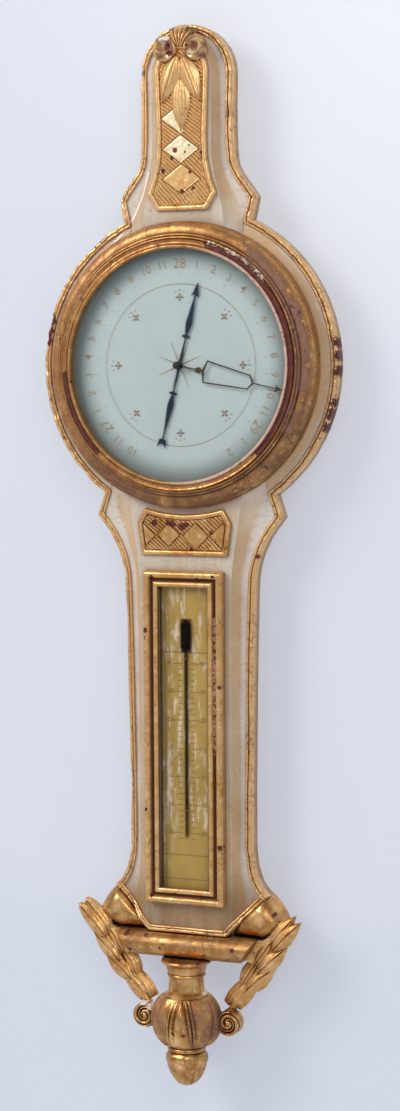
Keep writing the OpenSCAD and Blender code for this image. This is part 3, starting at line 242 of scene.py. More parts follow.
def frame_wear(tree, place):
    """The thermometer frame is dark brown in its channel and below the height of its beads, so only its
    beads are bright. On the right the channel is down to pinkish size and gesso."""
    across, forward, up = (on_case(tree, place, way) for way in "XYZ")
    aside = window(tree, add(tree, "Math ABSOLUTE", (across,)), 0, 33.6, 0.4)
    inside = add(tree, "Math MULTIPLY", (aside, window(tree, up, -502.6, -199, 0.4)))
    sunk = window(tree, forward, 0, 36.2, 0.7)
    right = (window(tree, across, 27.5, 34, 0.5), window(tree, up, -353.5, -243.5, 20))
    near = add(tree, "Math MULTIPLY", (add(tree, "Math MULTIPLY", right), 0.4))
    bare = torn(tree, place, near, 3)
    return {
        "brown": add(tree, "Math MULTIPLY", (inside, sunk)),
        "pink": add(tree, "Math MULTIPLY", (bare, sunk)),
    }


def gilding(
    name, leaf, deep, clay_from, chalk_from, rough=0.36, metal=0.75, clay_at=(), chalk_at=(),
    wear_and_light=None, dents=0.35, pale="#EBBE82", crackle=0.5,
):
    """Water gilding: gold leaf on red clay over chalk gesso, laid in small squares and burnished.
    To the eye it is a warm metal, worn to red clay and at worst to white chalk. Painted shade browns it in
    the creases, and painted highlights lay pale gold where it would catch the light."""
    finish, tree, shader, place = new_finish(name)
    masks = dict.fromkeys(("painted_highlight", "brown", "mauve", "pink", "clay", "chalk"), 0.0)
    masks.update(wear_and_light(tree, place) if wear_and_light else {})
    # Painted highlight: points marked with a painted sheen are laid in near-white gold
    painted_sheen = add(tree, "Attribute", out="Fac", attribute_name="painted_sheen")
    # Painted highlights: small pale flecks stand for the glitter of burnished leaf
    painted_glitter = add(tree, "Math MULTIPLY", (patches(tree, place, 5, 0.58, 0.68, 5.0, 0.7), 0.6))
    # Thin, rubbed gold lets the clay show through it as a brownish bloom
    rubbed = patches(tree, place, 9, clay_from - 0.12, clay_from + 0.06, 6.0, 0.68)
    # Painted shade: the colour darkens to the deep colour where ambient occlusion finds a crease
    ao_painted_shade = add(tree, "AmbientOcclusion", {"Distance": 0.0035}, "AO", samples=8)
    stain = add(tree, "Math SUBTRACT", (masks["mauve"], painted_sheen), use_clamp=True)
    dusk = layered(tree, "#8C6148", (patches(tree, place, 12, 0.38, 0.66, 5.0), "#6C4433"))
    # Small flakes gone to the dark red clay, a few millimetres across
    flaked = patches(tree, place, 7, clay_from + 0.055, clay_from + 0.075, 5.0, 0.6)
    listed = add(tree, "Math MAXIMUM", (worn_spots(tree, place, clay_at), masks["clay"]))
    lost = add(tree, "Math MAXIMUM", (flaked, listed))
    clay = layered(tree, "#4A110B", (patches(tree, place, 6, 0.4, 0.65), "#6E2A1C"))
    # Age cracks across the gesso, about a centimetre apart, drawn coarse enough to show
    mesh = {"Vector": place, "Scale": 1000 / 11}
    net = add(tree, "TexVoronoi", mesh, "Distance", feature="DISTANCE_TO_EDGE")
    crack = add(tree, "MapRange", (net, 0.0, 0.028, 1.0, 0.0))
    few = add(tree, "Math MULTIPLY", (crack, patches(tree, place, 30, crackle, crackle + 0.12)))
    # A dent in the edge shows clay at its rim and chalk at its bottom
    dented = add(tree, "Attribute", out="Fac", attribute_name="chip")
    in_clay = torn(tree, place, dented, 4)
    in_chalk = add(tree, "MapRange", (dented, 0.9, 0.95))
    chipped = patches(tree, place, 5, chalk_from, chalk_from + 0.015, 5.0, 0.62)
    white = add(tree, "Math MAXIMUM", (worn_spots(tree, place, chalk_at), masks["chalk"]))
    chalk = add(tree, "Math MAXIMUM", (add(tree, "Math MAXIMUM", (chipped, white)), in_chalk))
    colour = layered(
        tree, leaf,
        (patches(tree, place, 16, 0.35, 0.68), pale),
        # Painted highlight: warm pale gold where a highlight is painted on
        (masks["painted_highlight"], "#FFD08A"),
        # Painted highlight: near-white gold for the painted sheen and the glitter flecks
        (add(tree, "Math MAXIMUM", (painted_sheen, painted_glitter)), "#FFEFC8"),
        (add(tree, "Math MULTIPLY", (rubbed, 0.65)), "#A0622F"),
        # painted shade in the creases
        (add(tree, "MapRange", (ao_painted_shade, 0.38, 0.86, 0.97, 0.0)), deep),
        (masks["brown"], "#5E3A1C"),
        (stain, dusk),
        (masks["pink"], "#C9A48E"),
        (lost, clay),
        (few, "#4A2A16"),
        (in_clay, "#5A1F14"),
        (chalk, "#E6DCCB"),
    )
    bare = add(tree, "Math MAXIMUM", (add(tree, "Math MAXIMUM", (lost, chalk)), in_clay))
    matt = bare
    for mark in (stain, masks["pink"], masks["brown"]):
        matt = add(tree, "Math MAXIMUM", (matt, mark))
    kept = add(tree, "Math SUBTRACT", (1.0, matt), use_clamp=True)
    faded = add(tree, "MapRange", (rubbed, 0.0, 1.0, metal, 0.65 * metal))
    gloss = add(tree, "MapRange", (rubbed, 0.0, 1.0, rough, rough + 0.2))
    lump = patches(tree, place, 4, 0.2, 0.8, 3.0, 0.5)
    sunk = add(tree, "Math MULTIPLY", (add(tree, "Math MAXIMUM", (bare, few)), 1.2))
    height = add(tree, "Math SUBTRACT", (lump, sunk))
    feed(tree, shader, {
        "Base Color": colour,
        "Metallic": add(tree, "Math MULTIPLY", (kept, faded)),
        "Roughness": add(tree, "Mix", {0: matt, 2: gloss, 3: 0.62}),
        "Normal": add(tree, "Bump", {"Height": height, "Strength": dents, "Distance": 0.0005}),
    })
    return finish


def cracked_joint(tree, place, path, width_mm):
    """A mask of a narrow open joint that follows path, points (x, z) from the dial centre."""
    flat = seen_flat(tree, place)
    near = 1000.0
    for (x0, z0), (x1, z1) in zip(path, path[1:]):
        way = Vector((x1 - x0, z1 - z0, 0))
        off = add(tree, "VectorMath SUBTRACT", (flat, (x0, z0, 0)))
        ahead = add(tree, "VectorMath DOT_PRODUCT", (off, way), 1)
        share = add(tree, "Math MULTIPLY", (ahead, 1 / way.length_squared), use_clamp=True)
        foot = add(tree, "VectorMath SCALE", {0: way, 3: share})
        near = add(tree, "Math MINIMUM", (near, add(tree, "VectorMath DISTANCE", (off, foot), 1)))
    return add(tree, "MapRange", (near, 0.3 * width_mm, 0.7 * width_mm, 1.0, 0.0))


def hollow_tone(tree, place):
    """Honey-brown lies in the hollow between field and edge, and a pale stripe beside the edge."""
    out = add(tree, "Attribute", out="Fac", attribute_name="out")
    waver = patches(tree, place, 26, 0.3, 0.7, 4.0, 0.6, (1, 1, 4))
    sway = add(tree, "MapRange", (waver, 0.0, 1.0, -0.07, 0.07))
    moved = add(tree, "Math ADD", (out, sway))
    # It is wiped thinner where the neck and the trunk meet the round body
    kept = add(tree, "MapRange", (radius_at(tree, place), 136, 170, 0.3, 1.0))
    honey = add(tree, "Math MULTIPLY", (window(tree, moved, 0.04, 0.46, 0.15), kept))
    return honey, window(tree, moved, 0.62, 1.2, 0.16)


def band_tone(tree, place):
    """The round body's band is honey-brown against the bezel and pale beside the gilt edge."""
    sway = add(tree, "MapRange", (patches(tree, place, 24, 0.3, 0.7), 0.0, 1.0, -1.5, 1.5))
    moved = add(tree, "Math ADD", (radius_at(tree, place), sway))
    return window(tree, moved, 120, 138.6, 3), window(tree, moved, 141.5, 160, 2)


def field_tone(tree, place):
    """Stains in broad streaks."""
    honey = patches(tree, place, 60, 0.48, 0.72, 3.0, 0.5, (1, 1, 2))
    return honey, patches(tree, place, 40, 0.5, 0.7, 3.0, 0.5, (1, 1, 3))


# The open joint across the neck and the shoulder, filled white
JOINT_LINE = [
    (-39, 180), (-43, 160.5), (-52.5, 141.5), (-63.5, 127), (-79, 111.5), (-92.5, 98.5), (-102, 88),
]


def distemper(name, tones, base="#C6B9A7"):
    """Glue paint over gesso, waxed and toned: a matt greige with honey-brown in the hollows,
    fine strokes along the wood and specks of dirt."""
    finish, tree, shader, place = new_finish(name)
    honey, pale = tones(tree, place)
    strokes = patches(tree, place, 5, 0.42, 0.72, 4.0, 0.6, (1, 1, 9))
    fine = patches(tree, place, 3, 0.35, 0.7, 5.0, 0.6, (1, 1, 7))
    broad = patches(tree, place, 19, 0.32, 0.62, 4.0, 0.6, (1, 1, 3))
    mottled = add(tree, "MapRange", (add(tree, "Math MULTIPLY", (fine, broad)), 0.0, 1.0, 0.6, 1.0))
    stain = add(tree, "Math MULTIPLY", (add(tree, "Math MULTIPLY", (honey, mottled)), 0.85))
    # The paint darkens to brown over the foot of the trunk
    up = on_case(tree, place, "Z")
    low = add(tree, "MapRange", (up, -516.5, -468.5, 0.92, 0.0), interpolation_type="SMOOTHSTEP")
    browner_at_foot = add(tree, "Math MULTIPLY", (low, add(tree, "MapRange", (broad, 0.0, 1.0, 0.72, 1.0))))
    # Drying cracks across the wood, a few millimetres apart, drawn coarse enough to show
    cracks = patches(tree, place, 4, 0.56, 0.66, 5.0, 0.7, (3, 3, 1))
    # Painted shade: a brown darkening where ambient occlusion finds the surface enclosed
    ao_painted_shade = add(tree, "AmbientOcclusion", {"Distance": 0.009}, "AO", samples=8)
    dirt = patches(tree, place, 2.4, 0.69, 0.72, 3.0, 0.5)
    colour = layered(
        tree, base,
        (patches(tree, place, 34, 0.34, 0.7, 3.0, 0.55), "#B6A792"),
        (add(tree, "Math MULTIPLY", (pale, 0.55)), "#D3CBC1"),
        (add(tree, "Math MULTIPLY", (strokes, 0.3)), "#E2D8C9"),
        (stain, "#CF9F5E"),
        (browner_at_foot, "#87663F"),
        (add(tree, "Math MULTIPLY", (cracks, 0.26)), "#8F7350"),
        # painted shade in the recesses
        (add(tree, "MapRange", (ao_painted_shade, 0.3, 0.8, 0.9, 0.0)), "#9A6E3E"),
        (add(tree, "Math MULTIPLY", (dirt, 0.7)), "#6B4A2C"),
        (cracked_joint(tree, place, JOINT_LINE, 1.7), "#F4F1EC"),
    )
    height = add(tree, "Math SUBTRACT", (fine, dirt))
    feed(tree, shader, {
        "Base Color": colour,
        "Roughness": 0.58,
        "Specular IOR Level": 0.35,
        "Normal": add(tree, "Bump", {"Height": height, "Strength": 0.25, "Distance": 0.00025}),
    })
    return finish


def dial_paint():
    """Oil paint on pasteboard under glass: an even pale blue-green, darkened towards the rim by painted shade
    from the bezel.
    """
    finish, tree, shader, place = new_finish("dial_blue_green_paint")
    # Painted shade: the paint darkens towards the rim, where the bezel's lip shades the dial
    rim = add(tree, "MapRange", (radius_at(tree, place), 84, 111, 0.0, 0.9), interpolation_type="SMOOTHSTEP")
    height = patches(tree, place, 3, 0.3, 0.7)
    colour = layered(
        tree, "#C6CED2",
        (add(tree, "Math MULTIPLY", (patches(tree, place, 40, 0.35, 0.7, 4.0, 0.55), 0.5)), "#B9C3C8"),
        (add(tree, "Math MULTIPLY", (patches(tree, place, 3, 0.72, 0.75, 2.0, 0.5), 0.35)), "#8E9690"),
        (rim, "#687475"),
    )
    feed(tree, shader, {
        "Base Color": colour,
        "Roughness": 0.55,
        "Normal": add(tree, "Bump", {"Height": height, "Strength": 0.1, "Distance": 0.0001}),
    })
    return finish


def plain_finish(name, a, b, size_mm, rough, metal=0.0, stretch=(1, 1, 1), dent=0.15, gloss=0.5):
    """A surface whose colour wanders between two close tones over size_mm, with a fine grain."""
    finish, tree, shader, place = new_finish(name)
    share = patches(tree, place, size_mm, 0.35, 0.68, 5.0, 0.6, stretch)
    height = patches(tree, place, size_mm / 6, 0.3, 0.7)
    feed(tree, shader, {
        "Base Color": layered(tree, a, (share, b)),
        "Roughness": add(tree, "MapRange", (share, 0.0, 1.0, rough, rough + 0.12)),
        "Metallic": metal,
        "Specular IOR Level": gloss,
        "Normal": add(tree, "Bump", {"Height": height, "Strength": dent, "Distance": 0.0002}),
    })
    return finish


def clear_glass(name, tint, rough=0.03, gloss=0.35, open_share=0.6):
    """Thin old crown glass: nearly clear, with a faint ripple that bends the reflections. open_share
    of the light goes straight through, as it does through a thin pane."""
    finish, tree, shader, place = new_finish(name)
    ripple = patches(tree, place, 60, 0.2, 0.8, 2.0)
    feed(tree, shader, {
        "Base Color": tint,
        "Transmission Weight": 1.0,
        "Roughness": rough,
        "IOR": 1.45,
        "Specular IOR Level": gloss,
        "Normal": add(tree, "Bump", {"Height": ripple, "Strength": 0.02, "Distance": 0.0002}),
    })
    rays = [add(tree, "LightPath", out="Is " + kind + " Ray") for kind in ("Shadow", "Diffuse")]
    thin = add(tree, "Math MAXIMUM", (add(tree, "Math MAXIMUM", rays), open_share))
    through = add(tree, "BsdfTransparent", {"Color": tint})
    both = add(tree, "MixShader", {0: thin, 1: shader.outputs[0], 2: through})
    tree.links.new(both, tree.nodes["Material Output"].inputs["Surface"])
    return finish


def scale_paint():
    """Varnished yellow paint on a thin board, scuffed along its length to the white ground."""
    finish, tree, shader, place = new_finish("scale_olive_yellow_paint")
    scratches = patches(tree, place, 4.2, 0.54, 0.59, 5.0, 0.72, (1, 1, 7))
    areas = patches(tree, place, 40, 0.38, 0.5, 2.0, 0.5, (1, 1, 2))
    scuff = add(tree, "Math MULTIPLY", (scratches, areas))
    # Painted shade: near-black brown where ambient occlusion finds a crease
    ao_painted_shade = add(tree, "AmbientOcclusion", {"Distance": 0.004}, "AO", samples=8)
    # Painted shadow: a black strip along the board's left edge, where the frame's recess wall is in deep
    # shade
    painted_shadow_strip = add(tree, "MapRange", (on_case(tree, place, "X"), -24.9, -24.3, 1.0, 0.0))
    colour = layered(
        tree, "#B59A56",
        (patches(tree, place, 26, 0.35, 0.7, 4.0, 0.6, (1, 1, 3)), "#A08442"),
        (scuff, "#DCD0CB"),
        # painted shade in the creases
        (add(tree, "MapRange", (ao_painted_shade, 0.3, 0.8, 0.9, 0.0)), "#3F3118"),
        (painted_shadow_strip, "#0E0A05"),
    )
    height = add(tree, "Math SUBTRACT", (patches(tree, place, 3, 0.3, 0.7), scuff))
    feed(tree, shader, {
        "Base Color": colour,
        "Roughness": 0.45,
        "Normal": add(tree, "Bump", {"Height": height, "Strength": 0.2, "Distance": 0.0002}),
    })
    return finish


# Worn places of the real one: x, z and reach
CREST_CLAY = [
    (-6.1, 199, 3.5), (-9.1, 191.8, 3), (-18.3, 180.2, 3.2), (0.7, 161.1, 3), (8.9, 178.3, 2.4),
    (11.8, 163.5, 2.4), (20, 196, 2.4), (4, 196.8, 1.6), (8, 203, 1.4), (-13, 294, 5.5), (-9.5, 287, 4),
    (8, 294, 3),
]
CREST_CHALK = [(-17, 299, 5), (-13, 301, 4)]
LATTICE_CLAY = [
    (-11.7, -148.4, 6), (-16, -147, 4), (-1.5, -151, 6), (3, -149, 4), (27.8, -156, 3), (-30, -148, 5),
    (8, -172, 3),
]
FRAME_CLAY = [
    (-30.5, -198.4, 3), (15.5, -199, 2.6), (31.6, -196.7, 2.6), (-33, -502.3, 3), (-9.2, -499.4, 2.4),
    (16.5, -501.2, 2.4), (-38, -249, 4), (38, -300, 3), (-38.5, -420, 3), (37.5, -452, 4),
]
LAUREL_CLAY = [(131, -533, 6)]
LAUREL_CHALK = [(102, -560, 4), (106, -563, 4)]
FOOT_CLAY = [
    (-55.6, -556, 3), (18, -561, 3), (29.2, -561.9, 3), (86.6, -514.4, 3), (-1.9, -628.5, 2.4),
    (8.4, -628.4, 2.4), (-60, -541, 4), (-40, -541.5, 3), (50, -548, 3), (-24, -552, 2.4),
]
# Places of painted highlights on the foot: x, z and reach
FOOT_PAINTED_HIGHLIGHTS = [
    (-66, -511, 13), (-72, -516, 9), (66, -512, 13), (73, -517, 9), (-1, -634, 10), (-4, -598, 8),
    (0, -661, 8),
]
FOOT_CHALK = [(20, -592, 3.5), (-24, -594, 3), (-44, -607, 6), (-38, -612, 5)]
# Long runs where the rim is down to the red clay
EDGE_CLAY = [
    (-98, 114, 6), (-91, 121, 8), (-141.5, 46, 9), (-144, 33, 9), (-144.5, 24, 6), (149.5, 20, 8),
    (151, 8, 9), (150.5, -6, 8), (147.5, -36, 8), (144.5, -47, 10), (140, -59, 9), (-45.5, 273, 4),
    (-70, 156, 4), (69.5, -178, 3), (-65, -396, 4), (-66, -310, 3),
]

GOLD_EDGE = gilding(
    "gilding_of_edge", "#E8B880", "#96602E", 0.65, 0.76, clay_at=EDGE_CLAY, wear_and_light=edge_side_shade, crackle=0.44
)
GOLD_BEZEL = gilding(
    "gilding_of_bezel", "#A87340", "#55300F", 0.6, 0.75, 0.32, 0.8, wear_and_light=bezel_wear, pale="#D2A062",
    crackle=0.46,
)
GOLD_FRAME = gilding(
    "gilding_of_frame", "#CE9A58", "#603716", 0.65, 0.76, clay_at=FRAME_CLAY, wear_and_light=frame_wear
)
GOLD_CREST = gilding(
    "gilding_of_crest", "#E9BA7C", "#B8834A", 0.67, 0.78, 0.32, 0.68, CREST_CLAY, CREST_CHALK, crest_wear
)
GOLD_LATTICE = gilding("gilding_of_lattice", "#C28A46", "#74421A", 0.66, 0.78, 0.34, 0.7, LATTICE_CLAY)
GOLD_LAUREL = gilding(
    "gilding_of_laurel", "#C8904C", "#74421A", 0.64, 0.79, 0.32, 0.78, LAUREL_CLAY, LAUREL_CHALK
)
GOLD_FOOT = gilding(
    "gilding_of_foot_burnished", "#A36C35", "#4C290C", 0.63, 0.79, 0.29, 0.85, FOOT_CLAY, FOOT_CHALK,
    foot_wear_and_highlights, 0.14, "#E4B470",
)
PAINT_FIELD = distemper("distemper_of_field", field_tone)
PAINT_HOLLOW = distemper("distemper_of_hollow", hollow_tone, "#D6CBBC")
PAINT_BAND = distemper("distemper_of_round_body", band_tone)
DIAL = dial_paint()
INK = plain_finish("dial_faded_brown_ink", "#94806A", "#A8947C", 6, 0.7)
RUST_INK = plain_finish("dial_faded_red_ink", "#7A5640", "#92745A", 5, 0.7)
BLUE_STEEL = plain_finish("index_blued_steel", "#222B3A", "#2F3B4C", 12, 0.35, 0.8)
DARK_WIRE = plain_finish("setting_hand_dark_brass", "#3C372A", "#5C5238", 8, 0.45, 0.6)
BLACK_HORN = plain_finish("knob_turned_horn", "#0E0C0B", "#1A1715", 3, 0.35)
BRASS = plain_finish("movement_aged_brass", "#8C6D33", "#A98746", 10, 0.38, 1.0)
STEEL = plain_finish("arbor_drawn_steel", "#8B8B88", "#9F9F9B", 5, 0.3, 1.0)
IRON = plain_finish("iron_forged_black", "#3A332D", "#4F433A", 6, 0.6, 0.7)
BOX_WOOD = plain_finish("pulley_turned_boxwood", "#CDB27C", "#BE9F66", 6, 0.4)
RAW_WOOD = plain_finish("back_planed_softwood", "#8A6540", "#A37C52", 7, 0.72, 0.0, (1, 1, 14), 0.4)
SILK = plain_finish("thread_twisted_silk", "#CDBF98", "#B9A87C", 1.5, 0.7)
SPIRIT = plain_finish("thermometer_dark_spirit", "#140202", "#200503", 10, 0.12, gloss=0.04)
SCALE = scale_paint()
SCALE_INK = plain_finish("scale_faded_ink", "#5E4A22", "#75602F", 5, 0.6)
GLASS = clear_glass("pane_crown_glass", "#F8FAF8", open_share=0.75)
PANE = clear_glass("pane_thin_sheet_glass", "#FDFBF4", gloss=0.05, open_share=0.85)
TUBE_GLASS = clear_glass("tube_drawn_glass", "#DCCFB0", 0.05, 0.06, 0.93)
QUICKSILVER = plain_finish("mercury_bright", "#C4C6CA", "#D2D4D6", 30, 0.06, 1.0, dent=0.02)
FLOAT_GLASS = plain_finish("float_blown_white_glass", "#D5D8D2", "#E2E4DE", 4, 0.15)

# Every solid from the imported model, by the finish it takes
DRESSED = {
    RAW_WOOD: "back_board dial_board glass_fillet",
    GOLD_EDGE: "edge_moulding_left edge_moulding_right base_listel",
    GOLD_BEZEL: "bezel",
    GOLD_FRAME: "frame_left frame_right frame_top frame_bottom",
    GOLD_CREST: "crest_panel crest_leaves crest_dome_left crest_dome_right crest_shell",
    GOLD_LATTICE: "lattice_panel",
    GOLD_LAUREL: "laurel_left laurel_right",
    GOLD_FOOT: "scroll_left scroll_right base_bar pendant_neck pendant_ball pendant_bud "
    "volute_left volute_right",
    PAINT_FIELD: "neck_field trunk_field",
    PAINT_HOLLOW: "neck_hollow trunk_hollow_left trunk_hollow_right",
    PAINT_BAND: "body_drum",
    DIAL: "dial_plate",
    GLASS: "dial_glass",
    PANE: "thermometer_glass",
    TUBE_GLASS: "thermometer_tube siphon_tube",
    BLUE_STEEL: "index_hand",
    STEEL: "index_arbor",
    BRASS: "arbor_bush bridge setting_spindle tube_ties tube_straps counterweight",
    BOX_WOOD: "pulley",
    IRON: "bridge_screws strap_nails hanging_plate plate_screws",
    DARK_WIRE: "setting_hand",
    BLACK_HORN: "setting_knob",
    SCALE: "scale_plate",
    SPIRIT: "thermometer_spirit",
    QUICKSILVER: "mercury mercury_short",
    SILK: "float_thread weight_thread",
    FLOAT_GLASS: "float",
}
for finish, names in DRESSED.items():
    for name in names.split():
        mesh = nodes[name].data
        mesh.materials.clear()
        mesh.materials.append(finish)

# Making pieces


def piece(name, points, faces, finish, body="case", stands_for=(), smooth=35, slot=None, marks=None):
    """A mesh of points (x, f, z) that rides on a body. body may instead be the fixed body, the moving
    one, and the two ends; then the mesh only stays where it is made. Edges sharper than smooth degrees
    stay crisp. marks gives named values, one for each point, that a finish can read."""
    mesh = bpy.data.meshes.new(name)
    mesh.from_pydata([metres(*p) for p in points], [], [tuple(int(i) for i in f) for f in faces])
    for mark, values in (marks or {}).items():
        layer = mesh.attributes.new(mark, "FLOAT", "POINT")
        layer.data.foreach_set("value", [float(v) for v in values])
    mesh.validate()
    made = bpy.data.objects.new(name, mesh)
    bpy.context.scene.collection.objects.link(made)
    mesh.materials.append(finish)
    work = bmesh.new()
    work.from_mesh(mesh)
    bmesh.ops.remove_doubles(work, verts=work.verts, dist=1e-7)
    bmesh.ops.recalc_face_normals(work, faces=work.faces)
    limit = math.radians(smooth)
    for face in work.faces:
        face.smooth = True
    for edge in work.edges:
        edge.smooth = len(edge.link_faces) == 2 and edge.calc_face_angle(0.0) < limit
    work.to_mesh(mesh)
    work.free()
    if isinstance(body, str):
        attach(made, body)
    else:
        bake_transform(made)
    if stands_for:
        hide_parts(*stands_for)


def skin(rings, closed_path=False):
    """Points and faces over rings of equal length; the ends are capped unless the path closes."""
    n, rows = len(rings[0]), len(rings)
    points = [p for ring in rings for p in ring]
    faces = []
    for i in range(rows if closed_path else rows - 1):
        a, b = i * n, ((i + 1) % rows) * n
        for j in range(n):
            k = (j + 1) % n
            faces.append((a + j, a + k, b + k, b + j))
    if not closed_path:
        faces.append(tuple(reversed(range(n))))
        faces.append(tuple(range((rows - 1) * n, rows * n)))
    return points, faces


def rings_of(x, f, z):
    """Grids of places as rings of points, one for each row."""
    return [list(zip(*row)) for row in zip(x, f, z)]


def sided(rings, side):
    """The rings as they are for side 1, mirrored to the left for side -1."""
    return [[(side * x, f, z) for x, f, z in ring] for ring in rings]


def joined(*parts):
    """Several (points, faces) as one."""
    points, faces = [], []
    for more, around in parts:
        start = len(points)
        points += list(more)
        faces += [tuple(i + start for i in f) for f in around]
    return points, faces


def grain(x, z, size, seed=0.0):
    """A smooth random value about -1 to 1 at a place, changing over size millimetres."""
    return noise.noise(Vector((x / size, z / size, seed)))


# Lines of the case


def polar(r, a):
    """The point (x, z) at radius r, a degrees up from the right."""
    return np.array([r * math.cos(math.radians(a)), r * math.sin(math.radians(a))])


def arc(cx, cz, r, a0, a1, n):
    """n + 1 points along an arc about (cx, cz)."""
    return [np.array([cx, cz]) + polar(r, a0 + (a1 - a0) * i / n) for i in range(n + 1)]


def curve(p, ts):
    """Points at the shares ts along the smooth curve that the four control points p draw."""
    a, b, c, d = (np.array(q, float) for q in p)
    return [(1 - t) ** 3 * a + 3 * (1 - t) ** 2 * t * b + 3 * (1 - t) * t * t * c + t**3 * d for t in ts]


def mitre(a, b, c):
    """The step inwards at b, on a clockwise path over a, b and c, that is 1 mm from either side."""
    u, v = (b - a) / np.linalg.norm(b - a), (c - b) / np.linalg.norm(c - b)
    m, k = np.array([u[1], -u[0]]), np.array([v[1], -v[0]])
    return (m + k) / (1 + m @ k)


def inset(path, d):
    """The closed clockwise path moved inwards by d."""
    return [b + d * mitre(a, b, c) for a, b, c in zip(path[-1:] + path, path, path[1:] + path[:1])]


def fair(stations, corners, steps):
    """A smooth line through the stations, sharp only at the corners, with steps to each interval."""
    stops = sorted({0, *corners, len(stations) - 1})
    line = []
    for s0, s1 in zip(stops, stops[1:]):
        run = [np.array(p, float) for p in stations[s0 : s1 + 1]]
        run = [2 * run[0] - run[1]] + run + [2 * run[-1] - run[-2]]
        for i in range(1, len(run) - 2):
            p0, p1, p2, p3 = run[i - 1 : i + 3]
            far = np.linalg.norm(p2 - p1)
            m1 = (p2 - p0) * far / (np.linalg.norm(p2 - p0) + 1e-9)
            m2 = (p3 - p1) * far / (np.linalg.norm(p3 - p1) + 1e-9)
            for j in range(steps):
                t = j / steps
                h = (2 * t**3 - 3 * t**2 + 1, t**3 - 2 * t**2 + t, -2 * t**3 + 3 * t**2, t**3 - t**2)
                line.append(h[0] * p1 + h[1] * m1 + h[2] * p2 + h[3] * m2)
    line.append(np.array(stations[-1], float))
    return line


def mirrored(path):
    """The path of the other side, from its end to its start."""
    return [np.array([-p[0], p[1]]) for p in reversed(path)]


# Where the neck and the trunk meet the round body, in degrees up from the right
NECK_TURN, TRUNK_TURN = 64.4, -54
SLANT_TOP, BASE_CORNER = np.array([79.0, -499.0]), np.array([40.0, -539.0])
UPPER_NOTCH, LOWER_NOTCH = polar(BODY_R, NECK_TURN), polar(BODY_R, TRUNK_TURN)
UPPER_EAR, LOWER_EAR = UPPER_NOTCH + [4.6, 21.1], LOWER_NOTCH + [6.9, -21.0]
arch_part = arc(0, ARCH_Z, ARCH_R, 90, 0, 18)
neck_part = [np.array([46.0, 232.0])] + curve(
    [(47, UPPER_EAR[1] + 39.5), (47, UPPER_EAR[1] + 24.5), UPPER_EAR + [-7, 12.5], UPPER_EAR],
    (0, 0.27, 0.5, 0.72, 1),
)
neck_part.append((UPPER_EAR + UPPER_NOTCH) / 2)
body_part = arc(0, 0, BODY_R, NECK_TURN, TRUNK_TURN, 34)
trunk_part = [(LOWER_NOTCH + LOWER_EAR) / 2] + curve(
    [LOWER_EAR, LOWER_EAR + [-7.5, -10.5], LOWER_EAR + [-29.5, -30.5], (66, LOWER_EAR[1] - 73.5)],
    (0, 0.25, 0.45, 0.65, 0.82, 1),
)
trunk_part += [np.array([63.5, -330.0])] + curve(
    [(62.5, -445), (62.5, -472), (67, -489), SLANT_TOP], (0, 0.25, 0.45, 0.7, 1)
)
right_side = arch_part + neck_part + body_part + trunk_part
slant = [SLANT_TOP * (1 - t) + BASE_CORNER * t for t in (0.25, 0.42, 0.6, 0.78)]
base_edge = slant + [BASE_CORNER] + mirrored([BASE_CORNER]) + mirrored(slant)
outline = right_side + base_edge + mirrored(right_side)[:-1]
I_EAR = len(arch_part) + len(neck_part) - 2
I_NOTCH = I_EAR + 2
I_TRUNK = I_NOTCH + len(body_part)
I_CORNER = len(right_side) - 1
inner_edge = inset(outline, EDGE_W)
slant_a, slant_b = inner_edge[I_CORNER], inner_edge[I_CORNER + 5]


def slant_at(x):
    """The point of the slanted foot's inner line at x."""
    return slant_a + (slant_b - slant_a) * (x - slant_a[0]) / (slant_b[0] - slant_a[0])


# Half widths of the raised fields, and the round seat that both end on
NECK_HALF, TRUNK_HALF = 28.5, 46
SEAT_R = BEZEL_R + 0.1
NECK_KNEE = np.array([42, math.sqrt(SEAT_R**2 - 42**2)])
TRUNK_KNEE = np.array([58, -math.sqrt(SEAT_R**2 - 58**2)])
knee_angle = math.degrees(math.atan2(NECK_KNEE[1], NECK_KNEE[0]))
neck_line = arc(0, ARCH_Z, NECK_HALF, 90, 0, 18) + [np.array([NECK_HALF, 232])]
neck_line += [NECK_KNEE + d for d in ([-13.5, 68.3], [-11, 51.3], [-6.5, 35.3], [-3, 20.3])]
neck_line += [NECK_KNEE, polar(SEAT_R, (NECK_TURN + knee_angle) / 2), polar(SEAT_R, NECK_TURN)]
neck_depths = [FIELD_F] * 25 + [(FIELD_F + BAND_F) / 2, BAND_F]
foot_angle = math.degrees(math.atan2(TRUNK_KNEE[1], TRUNK_KNEE[0]))
trunk_line = [polar(SEAT_R, TRUNK_TURN), polar(SEAT_R, (foot_angle + TRUNK_TURN) / 2), TRUNK_KNEE]
sweep = ([-2.5, -19.8], [-6, -37.8], [-9.5, -61.8], [-11, -76.8], [-12, -94.8])
trunk_line += [TRUNK_KNEE + d for d in sweep]
trunk_line += [np.array([TRUNK_HALF, z]) for z in (-330, -445, -468, -487, -505)] + [slant_at(TRUNK_HALF)]
trunk_depths = [BAND_F, (BAND_F + FIELD_F) / 2] + [FIELD_F] * 12


def hollow_depth(f, s):
    """The hollow's depth at the share s of the way out from a field at f."""
    return HOLLOW_F + (f - HOLLOW_F) * (1 - math.sin(math.pi / 2 * min(1, s / 0.8)))


def base_lift(x):
    """How far the surface inside the foot's edge stands over the hollow at x."""
    s = (x - TRUNK_HALF) / (slant_a[0] - TRUNK_HALF)
    return (FIELD_F if x <= TRUNK_HALF else hollow_depth(FIELD_F, s)) - HOLLOW_F


# Gilt edges


def round_top(d, f, r, a0, a1, n):
    """A round of a profile about (d, f)."""
    turns = [math.radians(a0 + (a1 - a0) * i / n) for i in range(n + 1)]
    return [(d + r * math.cos(a), f + r * math.sin(a)) for a in turns]


